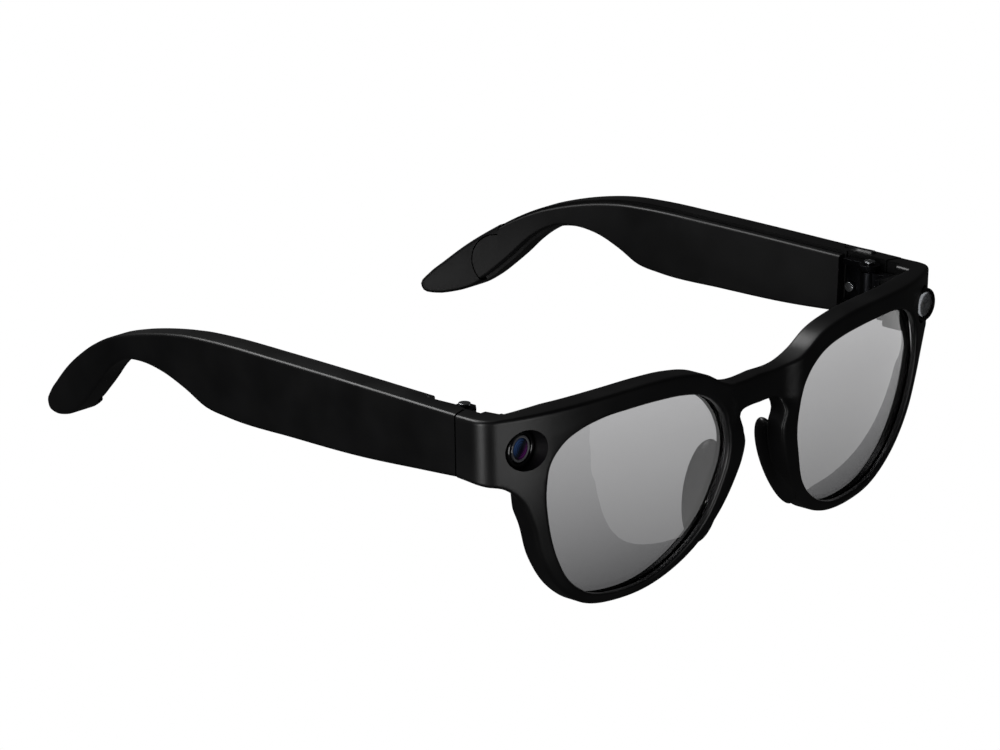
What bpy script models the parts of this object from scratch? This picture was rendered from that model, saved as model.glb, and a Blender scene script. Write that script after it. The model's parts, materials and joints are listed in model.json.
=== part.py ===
"""Camera glasses: a moulded front with two lenses, a camera and a light, on two hinged temples.

The front faces -Y, +X is the wearer's left, +Z is up, and the rims' lowest point is at Z = 0.
Every size here is in millimetres; meshes are scaled to metres when they are made. Depth into the
front is measured back from its face, and depth into a temple is measured in from its outer side.
"""

import math

import bmesh
import bpy
from mathutils import Matrix, Vector

MM = 0.001
GAP = 0.3  # between pieces that touch
STEP = 4.0  # spacing of points along an outline
MERGE = 0.002  # points closer than this are one point
ROUND = 0.8  # radius on the moulded edges

# Front: the face line is a gentle wrap, then a corner, then the side that meets the temple.
TURN_X = 70.0  # where the face ends and the corner begins
DRAWN_TURN_X = 70.0  # the same, in the outline below
END_PIECE_FROM_X = 69.0  # outline points past this move with the corner
WRAP_ROUND = 1.304  # set back at the corner by the even part of the wrap
WRAP_CURL = 8.843  # and by the part that grows towards the corner
TURN_RADIUS = 5.0
INNER_CORNER = (TURN_X - 4.3, 12.5)
INNER_SIDE_STEP = (0.2, 1.35)  # of the inner side, for each mm along the face
CORNER_BLEND_Z = (24.0, 31.5)  # heights from the straight back to the inner corner
STRAIGHT_BACK_X = TURN_X - 12.0
SEAM_Y = 18.7
SEAM_SLANT = 0.27
BAR_DEPTH = 5.7
RIM_DEPTH = 4.5
BRIDGE_SET_BACK = 1.5
TILT = 0.005
TILT_FROM_Z = 33.0
LEAN = 0.03
LEAN_BLEND_S = (TURN_X - 10.0, TURN_X + 4.0)
LEAN_FROM_Z = 43.0
END_LOW_Z = 31.2

# Lens opening and outer outline of the left half, as matching pairs of points.
# The third value is True where the outer outline has a sharp corner.
HALF_FRONT = (
    ((11.5, 26.5), (6.1, 26.3), False),
    ((11.8, 28.8), (7.0, 29.2), False),
    ((12.2, 30.6), (6.7, 31.1), False),
    ((12.6, 31.8), (5.4, 32.2), False),
    ((12.9, 32.6), (4.0, 32.4), False),
    ((14.2, 34.6), (-2.0, 32.4), True),
    ((15.6, 36.1), (-2.0, 38.5), True),
    ((17.0, 37.2), (9.0, 38.7), False),
    ((19.0, 38.4), (13.5, 40.2), False),
    ((22.0, 39.5), (19.0, 43.0), False),
    ((26.0, 40.3), (27.0, 44.7), False),
    ((33.0, 40.9), (35.0, 45.2), False),
    ((41.0, 41.0), (45.0, 45.1), False),
    ((48.0, 40.6), (55.0, 44.7), False),
    ((53.5, 39.2), (64.0, 44.3), False),
    ((56.2, 37.8), (72.0, 44.0), False),
    ((57.9, 36.2), (84.0, 44.0), True),
    ((58.9, 34.9), (84.0, 31.7), True),
    ((59.5, 33.8), (73.0, 30.7), False),
    ((59.8, 33.0), (69.6, 30.2), False),
    ((60.3, 29.5), (65.6, 27.0), False),
    ((59.4, 22.0), (63.2, 22.4), False),
    ((56.8, 14.5), (60.1, 14.2), False),
    ((52.5, 8.0), (54.7, 6.7), False),
    ((46.0, 3.6), (47.5, 1.7), False),
    ((38.0, 2.1), (38.0, 0.0), False),
    ((30.0, 2.6), (28.5, 0.7), False),
    ((22.5, 5.8), (20.0, 4.1), False),
    ((16.5, 11.2), (12.6, 10.8), False),
    ((12.9, 19.0), (8.2, 18.5), False),
    ((11.7, 23.0), (6.5, 23.0), False),
)

# Nose pads, moulded in one with the front.
PAD_CENTRE = (12.3, 6.8, 15.8)
PAD_HALF_SIZE = (2.6, 4.3, 10.6)
PAD_FLARE = 16.0
PAD_SPLAY = 21.0

# Lenses
LENS_DEPTH = 1.9
LENS_THICKNESS = 1.6
LENS_HOLD = 0.7

# Camera and light, each a round stack that looks straight ahead.
EYE_X = TURN_X - 5.4
EYE_Z = 37.4
EYE_SEAT_Y = 10.2
CAMERA_FRONT_Y = 9.0
LIGHT_FRONT_Y = 6.8
SCOOP_RADIUS = 4.1
BEZEL_RADIUS = 3.6
BEZEL_BORE = 2.9
BEZEL_LIP = 0.4
WINDOW_THICKNESS = 0.6
BARREL_RADIUS = 2.2
BARREL_LENGTH = 2.2
EYE_BOARD_THICKNESS = 0.6
CHIP_HALF = 0.8
CHIP_HEIGHT = 4.2
BOSS_LOW = (EYE_X - 4.0, 9.6, 32.0)
BOSS_HIGH = (EYE_X + 3.4, 17.0, 42.0)

# Hinges
PIN_X = TURN_X - 4.4
PIN_Y = 22.5
PIN_RADIUS = 0.8
PIN_HEAD_RADIUS = PIN_RADIUS + 0.4
PIN_HEAD_THICKNESS = 0.5
PIN_FOOT = 1.4  # how far the pin reaches below the long knuckle
KNUCKLE_RADIUS = 2.0
PLATE_RADIUS = 2.4
PLATE_REACH = 2.2
TONGUE_INSET = 1.0
KNUCKLE_LOW_Z = 34.3
KNUCKLE_HIGH_Z = 41.7
LEAF_THICKNESS = 1.2
LEAF_END_Y = 29.6
LEAF_PAST_SCREW = 1.6
LEAF_PAST_PIN = 1.2
ARM_HALF_WIDTH = 1.1
ARM_OVERLAP = 0.6
RECESS_X = TURN_X - 1.7
RECESS_Y = 16.0
SCREW_RADIUS = 0.6
SCREW_HEAD_RADIUS = 1.1
SCREW_HEAD_THICKNESS = 0.7
FRONT_SCREW = (PIN_X - 3.3, 34.6)
TEMPLE_SCREW = (28.0, 37.0)
SCREW_GRIP = 2.6

# Temples: outline in (Y, Z), from the seam along the top to the tip and back underneath.
TEMPLE_X = TURN_X + 2.6
TIP_END_Y = 144.8
DRAWN_TIP_END_Y = 144.8  # the same, in the outline below
HOOK_FROM_Y = 80.0  # outline points past this move with the tip
BOW_FROM_Y = TIP_END_Y - 49.8
BOW_IN = 0.0037
SHELL_DEPTH = 5.0
COVER_THICKNESS = 2.1
COVER_INSET = 0.6
COVER_START_Y = 30.4
COVER_END_Y = TIP_END_Y - 19.3
COVER_END_Z = 25.5
COVER_END_RADIUS = 6.3
SHELL_WALL = 1.3
CAVITY_START_Y = 33.0
CAVITY_END_Y = TIP_END_Y - 40.8
TEMPLE_OUTLINE = (
    (12.0, 43.9, True),
    (36.0, 44.5, False),
    (52.0, 44.9, False),
    (68.0, 45.2, False),
    (84.0, 45.3, False),
    (92.0, 44.9, False),
    (100.0, 43.7, False),
    (108.5, 41.7, False),
    (115.8, 39.3, False),
    (122.0, 36.3, False),
    (128.0, 32.6, False),
    (134.0, 28.3, False),
    (139.0, 24.0, False),
    (142.9, 20.4, False),
    (144.7, 17.8, False),
    (144.0, 16.2, False),
    (141.0, 15.8, False),
    (137.0, 16.6, False),
    (132.5, 18.3, False),
    (128.6, 20.9, False),
    (125.3, 23.8, False),
    (121.8, 27.1, False),
    (118.2, 30.8, False),
    (114.8, 33.5, False),
    (110.5, 35.7, False),
    (105.0, 36.4, False),
    (98.5, 35.6, False),
    (92.3, 33.4, False),
    (86.5, 30.7, False),
    (80.0, 29.8, False),
    (62.0, 29.6, False),
    (44.0, 29.8, False),
    (28.0, 30.8, False),
    (12.0, 31.9, True),
)

# Capture button on the left temple's top edge.
BUTTON_X = TEMPLE_X - 2.2
BUTTON_Y = 28.4
BUTTON_SIZE = (1.3, 7.6)
BUTTON_PROUD = 0.35
BUTTON_TRAVEL = 0.4
BUTTON_SKIN = 1.2
FLANGE_MARGIN = 0.35
FLANGE_THICKNESS = 0.5
SWITCH_SIZE = (1.5, 3.0, 1.4)

# What the temples hold.
BOARD_SIZE = (0.8, 22.0, 9.6)
BOARD_Y = 48.2
CHIP_SIZE = (1.1, 6.0, 6.0)
BATTERY_SIZE = (3.0, 24.0, 9.4)
BATTERY_Y = 72.5
SPEAKER_SIZE = (2.9, 11.0, 4.6)
SPEAKER_Y = TIP_END_Y - 52.3
SPEAKER_Z = 39.7
PACK_Z = 36.4
SPEAKER_SLOTS = 3
SLOT_SIZE = (1.4, 1.2)
SLOT_PITCH = 3.0
SLOTS_AHEAD = 9.0  # of the speaker's middle
UNDERSIDE_Z = 30.4  # of the temple, over the sound openings
MIC_RADIUS = 1.1
MIC_LENGTH = 1.0
MIC_HOLE_RADIUS = 0.5
MIC_Y = 35.2
CONTACT_COUNT = 4
CONTACT_PITCH = 2.6
CONTACT_RADIUS = 0.8
CONTACT_PROUD = 0.1
CONTACT_Y = 47.0
CONTACT_Z = 35.6
MAGNET_RADIUS = 1.6
MAGNET_THICKNESS = 1.2
MAGNET_PITCH = 15.0

MID_Y = TIP_END_Y / 2
SIDES = (("left", 1), ("right", -1))


# ---------------------------------------------------------------- scene helpers


def clear_scene():
    for item in list(bpy.data.objects):
        bpy.data.objects.remove(item, do_unlink=True)


def collection(name, hidden=False):
    found = bpy.data.collections.new(name)
    bpy.context.scene.collection.children.link(found)
    found.hide_render = hidden
    return found


def linear(value):
    value /= 255
    return value / 12.92 if value <= 0.04045 else ((value + 0.055) / 1.055) ** 2.4


def material(name, colour, roughness, metallic=0.0, alpha=1.0):
    made = bpy.data.materials.new(name)
    made.use_nodes = True
    shader = made.node_tree.nodes["Principled BSDF"]
    rgb = [linear(int(colour[i : i + 2], 16)) for i in (0, 2, 4)]
    shader.inputs["Base Color"].default_value = (*rgb, 1.0)
    shader.inputs["Roughness"].default_value = roughness
    shader.inputs["Metallic"].default_value = metallic
    shader.inputs["Alpha"].default_value = alpha
    return made


def empty(name, place, parent=None):
    made = bpy.data.objects.new(name, None)
    PARTS.objects.link(made)
    made.parent = parent
    made.location = Vector(place) * MM
    return made


def node(name, bm, finish, pivot=None, origin=(0, 0, 0)):
    """Turns a mesh in millimetres into a named part; with no finish it is a cutter.

    A piece of a temple is parented to that temple's pivot, and any other to the middle.
    """
    bmesh.ops.recalc_face_normals(bm, faces=bm.faces)
    bmesh.ops.translate(bm, verts=bm.verts, vec=-Vector(origin))
    bmesh.ops.scale(bm, verts=bm.verts, vec=(MM, MM, MM))
    mesh = bpy.data.meshes.new(name)
    bm.to_mesh(mesh)
    bm.free()
    mesh.shade_smooth()
    mesh.set_sharp_from_angle(angle=math.radians(35))
    made = bpy.data.objects.new(name, mesh)
    if finish is None:
        CUTTERS.objects.link(made)
        made.hide_render = True
        made.display_type = "WIRE"
    else:
        mesh.materials.append(finish)
        PARTS.objects.link(made)
    made.parent = pivot or MIDDLE
    made.location = Vector(origin) * MM - (pivot.location if pivot else Vector())
    return made


def cut(part, *cutters, operation="DIFFERENCE"):
    for number, cutter in enumerate(cutters):
        change = part.modifiers.new(f"{operation.lower()}_{number}", "BOOLEAN")
        change.operation = operation
        change.solver = "EXACT"
        change.object = cutter


# ---------------------------------------------------------------- shapes, in millimetres


def box(low, high):
    bm = bmesh.new()
    bmesh.ops.create_cube(bm, size=1.0)
    middle = [(a + b) / 2 for a, b in zip(low, high)]
    size = [b - a for a, b in zip(low, high)]
    bmesh.ops.scale(bm, verts=bm.verts, vec=size)
    bmesh.ops.translate(bm, verts=bm.verts, vec=middle)
    return bm


def rod(start, end, radius, sides=24):
    start, end = Vector(start), Vector(end)
    bm = bmesh.new()
    bmesh.ops.create_cone(
        bm,
        cap_ends=True,
        segments=sides,
        radius1=radius,
        radius2=radius,
        depth=(end - start).length,
    )
    turn = (end - start).to_track_quat("Z", "Y").to_matrix()
    bmesh.ops.rotate(bm, verts=bm.verts, matrix=turn, cent=(0, 0, 0))
    bmesh.ops.translate(bm, verts=bm.verts, vec=(start + end) / 2)
    return bm


def turned(profile, base, direction, sides=24):
    """A profile of (radius, height) pairs turned about an axis through base.

    A profile that starts and ends on the axis stays open there.
    """
    bm = bmesh.new()
    points = [bm.verts.new((radius, 0, height)) for radius, height in profile]
    edges = [bm.edges.new(pair) for pair in zip(points, points[1:])]
    if profile[0][0] > 0:
        edges.append(bm.edges.new((points[-1], points[0])))
    bmesh.ops.spin(
        bm,
        geom=points + edges,
        cent=(0, 0, 0),
        axis=(0, 0, 1),
        angle=math.tau,
        steps=sides,
        use_merge=True,
    )
    bmesh.ops.remove_doubles(bm, verts=bm.verts, dist=MERGE)
    turn = Vector(direction).to_track_quat("Z", "Y").to_matrix()
    bmesh.ops.rotate(bm, verts=bm.verts, matrix=turn, cent=(0, 0, 0))
    bmesh.ops.translate(bm, verts=bm.verts, vec=base)
    return bm


def slab(outline, low, high, axis="Z"):
    """A flat closed outline of (a, b) points, raised from low to high along an axis."""
    bm = bmesh.new()
    face = bm.faces.new([bm.verts.new((a, b, low)) for a, b in outline])
    raised = bmesh.ops.extrude_face_region(bm, geom=[face])
    lifted = [item for item in raised["geom"] if isinstance(item, bmesh.types.BMVert)]
    bmesh.ops.translate(bm, verts=lifted, vec=(0, 0, high - low))
    if axis == "X":
        # (a, b, h) becomes X = h, Y = a, Z = b
        for vert in bm.verts:
            vert.co = Vector((vert.co.z, vert.co.x, vert.co.y))
    return bm


def pill(centre, size, low, high):
    """An upright slab with rounded ends; size is (width in X, length in Y)."""
    radius = size[0] / 2
    reach = size[1] / 2 - radius
    outline = []
    for end in (1, -1):
        for step in range(9):
            angle = math.pi * step / 8 + (0 if end > 0 else math.pi)
            x = centre[0] + radius * math.cos(angle)
            y = centre[1] + end * reach + radius * math.sin(angle)
            outline.append((x, y))
    return slab(outline, low, high)


def mirrored(bm):
    """The same shape on the other side of the middle plane."""
    bmesh.ops.scale(bm, verts=bm.verts, vec=(-1, 1, 1))
    bmesh.ops.reverse_faces(bm, faces=bm.faces)
    return bm


def on_side(bm, side):
    return bm if side > 0 else mirrored(bm)


def smooth_span(before, start, end, after, sharp_start, sharp_end, count):
    """Points from start up to, but not at, end, on a smooth curve through all four."""
    chord = (end - start).length

    def tangent(left, middle, right):
        near, far = (middle - left).length, (right - middle).length
        blend = (middle - left) / near * far + (right - middle) / far * near
        return blend / (near + far) * chord

    leave = end - start if sharp_start else tangent(before, start, end)
    arrive = end - start if sharp_end else tangent(start, end, after)
    points = []
    for step in range(count):
        t = step / count
        points.append(
            start * (2 * t**3 - 3 * t**2 + 1)
            + leave * (t**3 - 2 * t**2 + t)
            + end * (3 * t**2 - 2 * t**3)
            + arrive * (t**3 - t**2)
        )
    return points


def smooth_loop(points, corners, counts):
    vectors = [Vector(point) for point in points]
    total = len(vectors)
    loop = []
    for i in range(total):
        around = [vectors[(i + shift) % total] for shift in (-1, 0, 1, 2)]
        loop += smooth_span(*around, corners[i], corners[(i + 1) % total], counts[i])
    return loop


def counts_for(points, spacing):
    lengths = [math.dist(a, b) for a, b in zip(points, points[1:] + points[:1])]
    return [max(2, round(length / spacing)) for length in lengths]


def offset_loop(loop, distance):
    """The loop moved sideways; a positive distance moves a clockwise loop outwards."""
    moved = []
    total = len(loop)
    for i, point in enumerate(loop):
        before = (point - loop[i - 1]).normalized()
        after = (loop[(i + 1) % total] - point).normalized()
        normal = Vector((-before.y - after.y, before.x + after.x)).normalized()
        spread = max(0.5, normal.dot(Vector((-before.y, before.x))))
        moved.append(point + normal * distance / spread)
    return moved


def loft(rings, closed):
    """Quads between rings of equal length; an open loft is capped by its first and last ring."""
    bm = bmesh.new()
    rows = [[bm.verts.new(point) for point in ring] for ring in rings]
    pairs = list(zip(rows, rows[1:] + rows[:1] if closed else rows[1:]))
    total = len(rows[0])
    for low, high in pairs:
        for i in range(total):
            j = (i + 1) % total
            bm.faces.new((low[i], low[j], high[j], high[i]))
    if not closed:
        bm.faces.new(rows[0])
        bm.faces.new(reversed(rows[-1]))
    return bm


def slice_at(bm, axis, places):
    normal = Vector([1.0 if i == axis else 0.0 for i in range(3)])
    for place in places:
        geometry = bm.verts[:] + bm.edges[:] + bm.faces[:]
        bmesh.ops.bisect_plane(bm, geom=geometry, plane_co=normal * place, plane_no=normal)
    bmesh.ops.remove_doubles(bm, verts=bm.verts, dist=MERGE)


def trim(bm, point, normal, fill=True):
    """Takes away what lies past a plane, and closes the cut."""
    geometry = bm.verts[:] + bm.edges[:] + bm.faces[:]
    bmesh.ops.bisect_plane(
        bm, geom=geometry, plane_co=point, plane_no=normal, clear_outer=True
    )
    if not fill:
        return
    bmesh.ops.remove_doubles(bm, verts=bm.verts, dist=MERGE)
    point, normal = Vector(point), Vector(normal).normalized()
    rim = [
        edge
        for edge in bm.edges
        if edge.is_boundary and all(abs((v.co - point).dot(normal)) < MERGE for v in edge.verts)
    ]
    bmesh.ops.holes_fill(bm, edges=rim, sides=0)


def move_points(bm, rule):
    for vert in bm.verts:
        vert.co = rule(*vert.co)


def ease(low, high, value):
    t = min(1.0, max(0.0, (value - low) / (high - low)))
    return t * t * (3 - 2 * t)


# ---------------------------------------------------------------- the front's curved space


def face_y(x):
    share = x / TURN_X
    return WRAP_ROUND * share**2 + WRAP_CURL * share**4


def face_line(s):
    """The face in plan, for a distance s along it from the middle."""
    if s <= TURN_X:
        return Vector((s, face_y(s)))
    slope = math.atan((2 * WRAP_ROUND + 4 * WRAP_CURL) / TURN_X)
    past = s - TURN_X
    turn = min(past / TURN_RADIUS, math.pi / 2 - slope)
    centre = Vector(
        (
            TURN_X - TURN_RADIUS * math.sin(slope),
            face_y(TURN_X) + TURN_RADIUS * math.cos(slope),
        )
    )
    angle = slope + turn
    point = centre + TURN_RADIUS * Vector((math.sin(angle), -math.cos(angle)))
    return point + Vector((0, past - turn * TURN_RADIUS))


def back_line(s, z):
    """The inner surface in plan: a bar, an inner corner and the inner side of the end piece.

    Below the end piece it stays straight behind the face.
    """
    behind = Vector((s, face_y(s) + BAR_DEPTH))
    bar_end = Vector((STRAIGHT_BACK_X, face_y(STRAIGHT_BACK_X) + BAR_DEPTH))
    corner = Vector(INNER_CORNER)
    middle_of_turn = TURN_X + TURN_RADIUS / 2
    if s <= STRAIGHT_BACK_X:
        return behind
    if s <= middle_of_turn:
        share = (s - STRAIGHT_BACK_X) / (middle_of_turn - STRAIGHT_BACK_X)
        return behind.lerp(bar_end.lerp(corner, share), ease(*CORNER_BLEND_Z, z))
    return corner + Vector(INNER_SIDE_STEP) * (s - middle_of_turn)


def on_front(s, depth, z):
    """From the flat pattern (s, depth, z) to the curved front."""
    face, back = face_line(s), back_line(s, z)
    slim = RIM_DEPTH / BAR_DEPTH
    share = depth / BAR_DEPTH * (slim + (1 - slim) * ease(28, 36, z))
    point = face.lerp(back, share)
    set_back = BRIDGE_SET_BACK * (1 - ease(7.0, 12.5, s)) * ease(29.0, 32.0, z)
    y = point.y + TILT * max(0.0, TILT_FROM_Z - z) ** 2 + set_back * (1 - share)
    x = point.x - LEAN * (LEAN_FROM_Z - max(z, END_LOW_Z)) * ease(*LEAN_BLEND_S, s)
    return Vector((x, y, z))


def outer_x(y, z):
    return TEMPLE_X - BOW_IN * max(0.0, y - BOW_FROM_Y) ** 2 - LEAN * (LEAN_FROM_Z - z)


def on_temple(depth, y, z):
    return Vector((outer_x(y, z) - depth, y, z))


def seam(side_gap):
    """A point on the slanted seam plane and its normal, towards the tip."""
    normal = Vector((SEAM_SLANT, 1.0, 0.0)).normalized()
    return Vector((TEMPLE_X, SEAM_Y, 0)) + normal * side_gap, normal


# ---------------------------------------------------------------- front


def end_shift(x):
    return TURN_X - DRAWN_TURN_X if x > END_PIECE_FROM_X else 0.0


def half_loops(spacing):
    lens = [pair[0] for pair in HALF_FRONT]
    rim = [(x + end_shift(x), z) for _, (x, z), _ in HALF_FRONT]
    corners = [pair[2] for pair in HALF_FRONT]
    counts = counts_for(rim, spacing)
    return smooth_loop(lens, [False] * len(lens), counts), smooth_loop(rim, corners, counts)


def flat(loop, depth):
    return [Vector((point.x, depth, point.y)) for point in loop]


def quarter(radius, parts=2):
    """(inset, depth) pairs round a convex edge, from the wall to the face."""
    steps = [math.pi / 2 * i / parts for i in range(parts + 1)]
    return [(radius * (1 - math.cos(a)), radius * (1 - math.sin(a))) for a in steps]


def front_frame(finish):
    lens, rim = half_loops(STEP)
    chamfer, rounding = quarter(ROUND, 1), quarter(ROUND)
    rings = [flat(offset_loop(lens, inset), depth) for inset, depth in chamfer]
    rings += [flat(offset_loop(rim, -inset), depth) for inset, depth in reversed(rounding)]
    rings += [flat(offset_loop(rim, -inset), BAR_DEPTH - depth) for inset, depth in rounding]
    rings += [
        flat(offset_loop(lens, inset), BAR_DEPTH - depth) for inset, depth in reversed(chamfer)
    ]
    bm = loft(rings, closed=True)
    trim(bm, (0, 0, 0), (-1, 0, 0), fill=False)
    slice_at(bm, 0, [8, 10, 12] + [TURN_X + step for step in (-8, -5, -2, 0, 1.5, 3, 4.5)])
    slice_at(bm, 2, [8, 14, 20, 26, 28.5, 30.7, 33.5])
    move_points(bm, on_front)
    point, normal = seam(-GAP / 2)
    trim(bm, point, normal)
    other = mirrored(bm.copy())
    scratch = bpy.data.meshes.new("half")
    other.to_mesh(scratch)
    other.free()
    bm.from_mesh(scratch)
    bpy.data.meshes.remove(scratch)
    bmesh.ops.remove_doubles(bm, verts=bm.verts, dist=MERGE)
    frame = node("front_frame", bm, finish)
    for name, side in SIDES:
        boss = node(f"boss_{name}", on_side(box(BOSS_LOW, BOSS_HIGH), side), None)
        pad = node(f"pad_{name}", on_side(nose_pad(), side), None)
        cut(frame, boss, pad, operation="UNION")
    for name, side in SIDES:
        tools = [node(f"groove_{name}", on_side(lens_disc(LENS_HOLD + GAP, GAP), side), None)]
        tools += eye_pockets(name, side)
        tools += front_hinge_seat(name, side)
        cut(frame, *tools)
    return frame


def nose_pad():
    bm = bmesh.new()
    bmesh.ops.create_uvsphere(bm, u_segments=20, v_segments=12, radius=1.0)
    bmesh.ops.scale(bm, verts=bm.verts, vec=PAD_HALF_SIZE)
    turn = Matrix.Rotation(math.radians(-PAD_FLARE), 3, "Z")
    turn = turn @ Matrix.Rotation(math.radians(-PAD_SPLAY), 3, "Y")
    bmesh.ops.rotate(bm, verts=bm.verts, matrix=turn, cent=(0, 0, 0))
    bmesh.ops.translate(bm, verts=bm.verts, vec=PAD_CENTRE)
    return bm


def lens_disc(grow, swell):
    """The lens's own form, grown at its edge and swollen in thickness for the groove."""
    lens = half_loops(2 * STEP)[0]
    edge = offset_loop(lens, grow)
    middle = sum(edge, Vector((0, 0))) / len(edge)
    front, back = LENS_DEPTH - swell, LENS_DEPTH + LENS_THICKNESS + swell
    shares = (0.3, 0.65, 1.0)
    rings = [flat([middle.lerp(p, share) for p in edge], front) for share in shares]
    rings += [flat([middle.lerp(p, share) for p in edge], back) for share in reversed(shares)]
    bm = loft(rings, closed=False)
    move_points(bm, on_front)
    return bm


def lenses(finish):
    for name, side in SIDES:
        node(f"lens_{name}", on_side(lens_disc(LENS_HOLD, 0.0), side), finish)


# ---------------------------------------------------------------- camera and light


def eye(y):
    return (EYE_X, y, EYE_Z)


BARREL_START_Y = EYE_SEAT_Y + GAP
BARREL_END_Y = BARREL_START_Y + BARREL_LENGTH
EYE_BOARD_START_Y = BARREL_END_Y + GAP
EYE_BOARD_END_Y = EYE_BOARD_START_Y + EYE_BOARD_THICKNESS


def eye_pockets(name, side):
    scoop = rod(eye(-5), eye(EYE_SEAT_Y + GAP), SCOOP_RADIUS, 32)
    well = rod(eye(EYE_SEAT_Y), eye(EYE_BOARD_END_Y + GAP), BARREL_RADIUS + 2 * GAP)
    pieces = (("scoop", scoop), ("well", well))
    return [node(f"{label}_{name}", on_side(bm, side), None) for label, bm in pieces]


def bezel(front_y):
    """A ring with a rounded lip; heights run forwards from its seat."""
    tall = EYE_SEAT_Y - front_y
    profile = (
        (BEZEL_BORE, 0),
        (BEZEL_RADIUS, 0),
        (BEZEL_RADIUS, tall - BEZEL_LIP),
        (BEZEL_RADIUS - BEZEL_LIP, tall),
        (BEZEL_BORE + BEZEL_LIP, tall),
        (BEZEL_BORE, tall - BEZEL_LIP),
    )
    return turned(profile, eye(EYE_SEAT_Y), (0, -1, 0), 32)


def window(front_y):
    radius = BEZEL_BORE - GAP
    dome = (
        (0, 0),
        (radius, 0),
        (radius, WINDOW_THICKNESS * 0.6),
        (radius * 0.6, WINDOW_THICKNESS * 0.92),
        (0, WINDOW_THICKNESS),
    )
    return turned(dome, eye(front_y + BEZEL_LIP + WINDOW_THICKNESS), (0, -1, 0))


def eye_board():
    return rod(eye(EYE_BOARD_START_Y), eye(EYE_BOARD_END_Y), BARREL_RADIUS + GAP)


def camera(side, finishes):
    """Bezel, window, lens barrel and sensor board, from front to back."""
    barrel = rod(eye(BARREL_START_Y), eye(BARREL_END_Y), BARREL_RADIUS)
    pieces = (
        ("camera_bezel", bezel(CAMERA_FRONT_Y), "bezel"),
        ("camera_window", window(CAMERA_FRONT_Y), "window"),
        ("camera_barrel", barrel, "barrel"),
        ("camera_board", eye_board(), "board"),
    )
    for name, bm, finish in pieces:
        node(name, on_side(bm, side), finishes[finish])


def light(side, finishes):
    """Bezel, window and an emitter standing on its board, which shows through the window."""
    low = (EYE_X - CHIP_HALF, EYE_BOARD_START_Y - GAP - CHIP_HEIGHT, EYE_Z - CHIP_HALF)
    high = (EYE_X + CHIP_HALF, EYE_BOARD_START_Y - GAP, EYE_Z + CHIP_HALF)
    pieces = (
        ("light_bezel", bezel(LIGHT_FRONT_Y), "bezel"),
        ("light_window", window(LIGHT_FRONT_Y), "diffuser"),
        ("light_chip", box(low, high), "chip"),
        ("light_board", eye_board(), "board"),
    )
    for name, bm, finish in pieces:
        node(name, on_side(bm, side), finishes[finish])


# ---------------------------------------------------------------- hinges


def front_hinge_seat(name, side):
    """The recess behind the boss that the front leaf lies in, and its screw's hole."""
    x, z = FRONT_SCREW
    back = RECESS_Y
    hole = rod((x, back - SCREW_GRIP - GAP, z), (x, back + 9, z), SCREW_RADIUS + GAP, 16)
    recess = box((50, back, 20), (RECESS_X, back + 20, 60))
    shapes = (("front_recess", recess), ("front_screw_hole", hole))
    return [node(f"{label}_{name}", on_side(bm, side), None) for label, bm in shapes]


def screw(start, tip, direction):
    """A cheese-head screw from the underside of its head to its tip."""
    length = (Vector(tip) - Vector(start)).length
    profile = (
        (0, -length),
        (SCREW_RADIUS, -length),
        (SCREW_RADIUS, 0),
        (SCREW_HEAD_RADIUS, 0),
        (SCREW_HEAD_RADIUS, SCREW_HEAD_THICKNESS),
        (0, SCREW_HEAD_THICKNESS),
    )
    return turned(profile, start, direction, 16)


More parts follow.
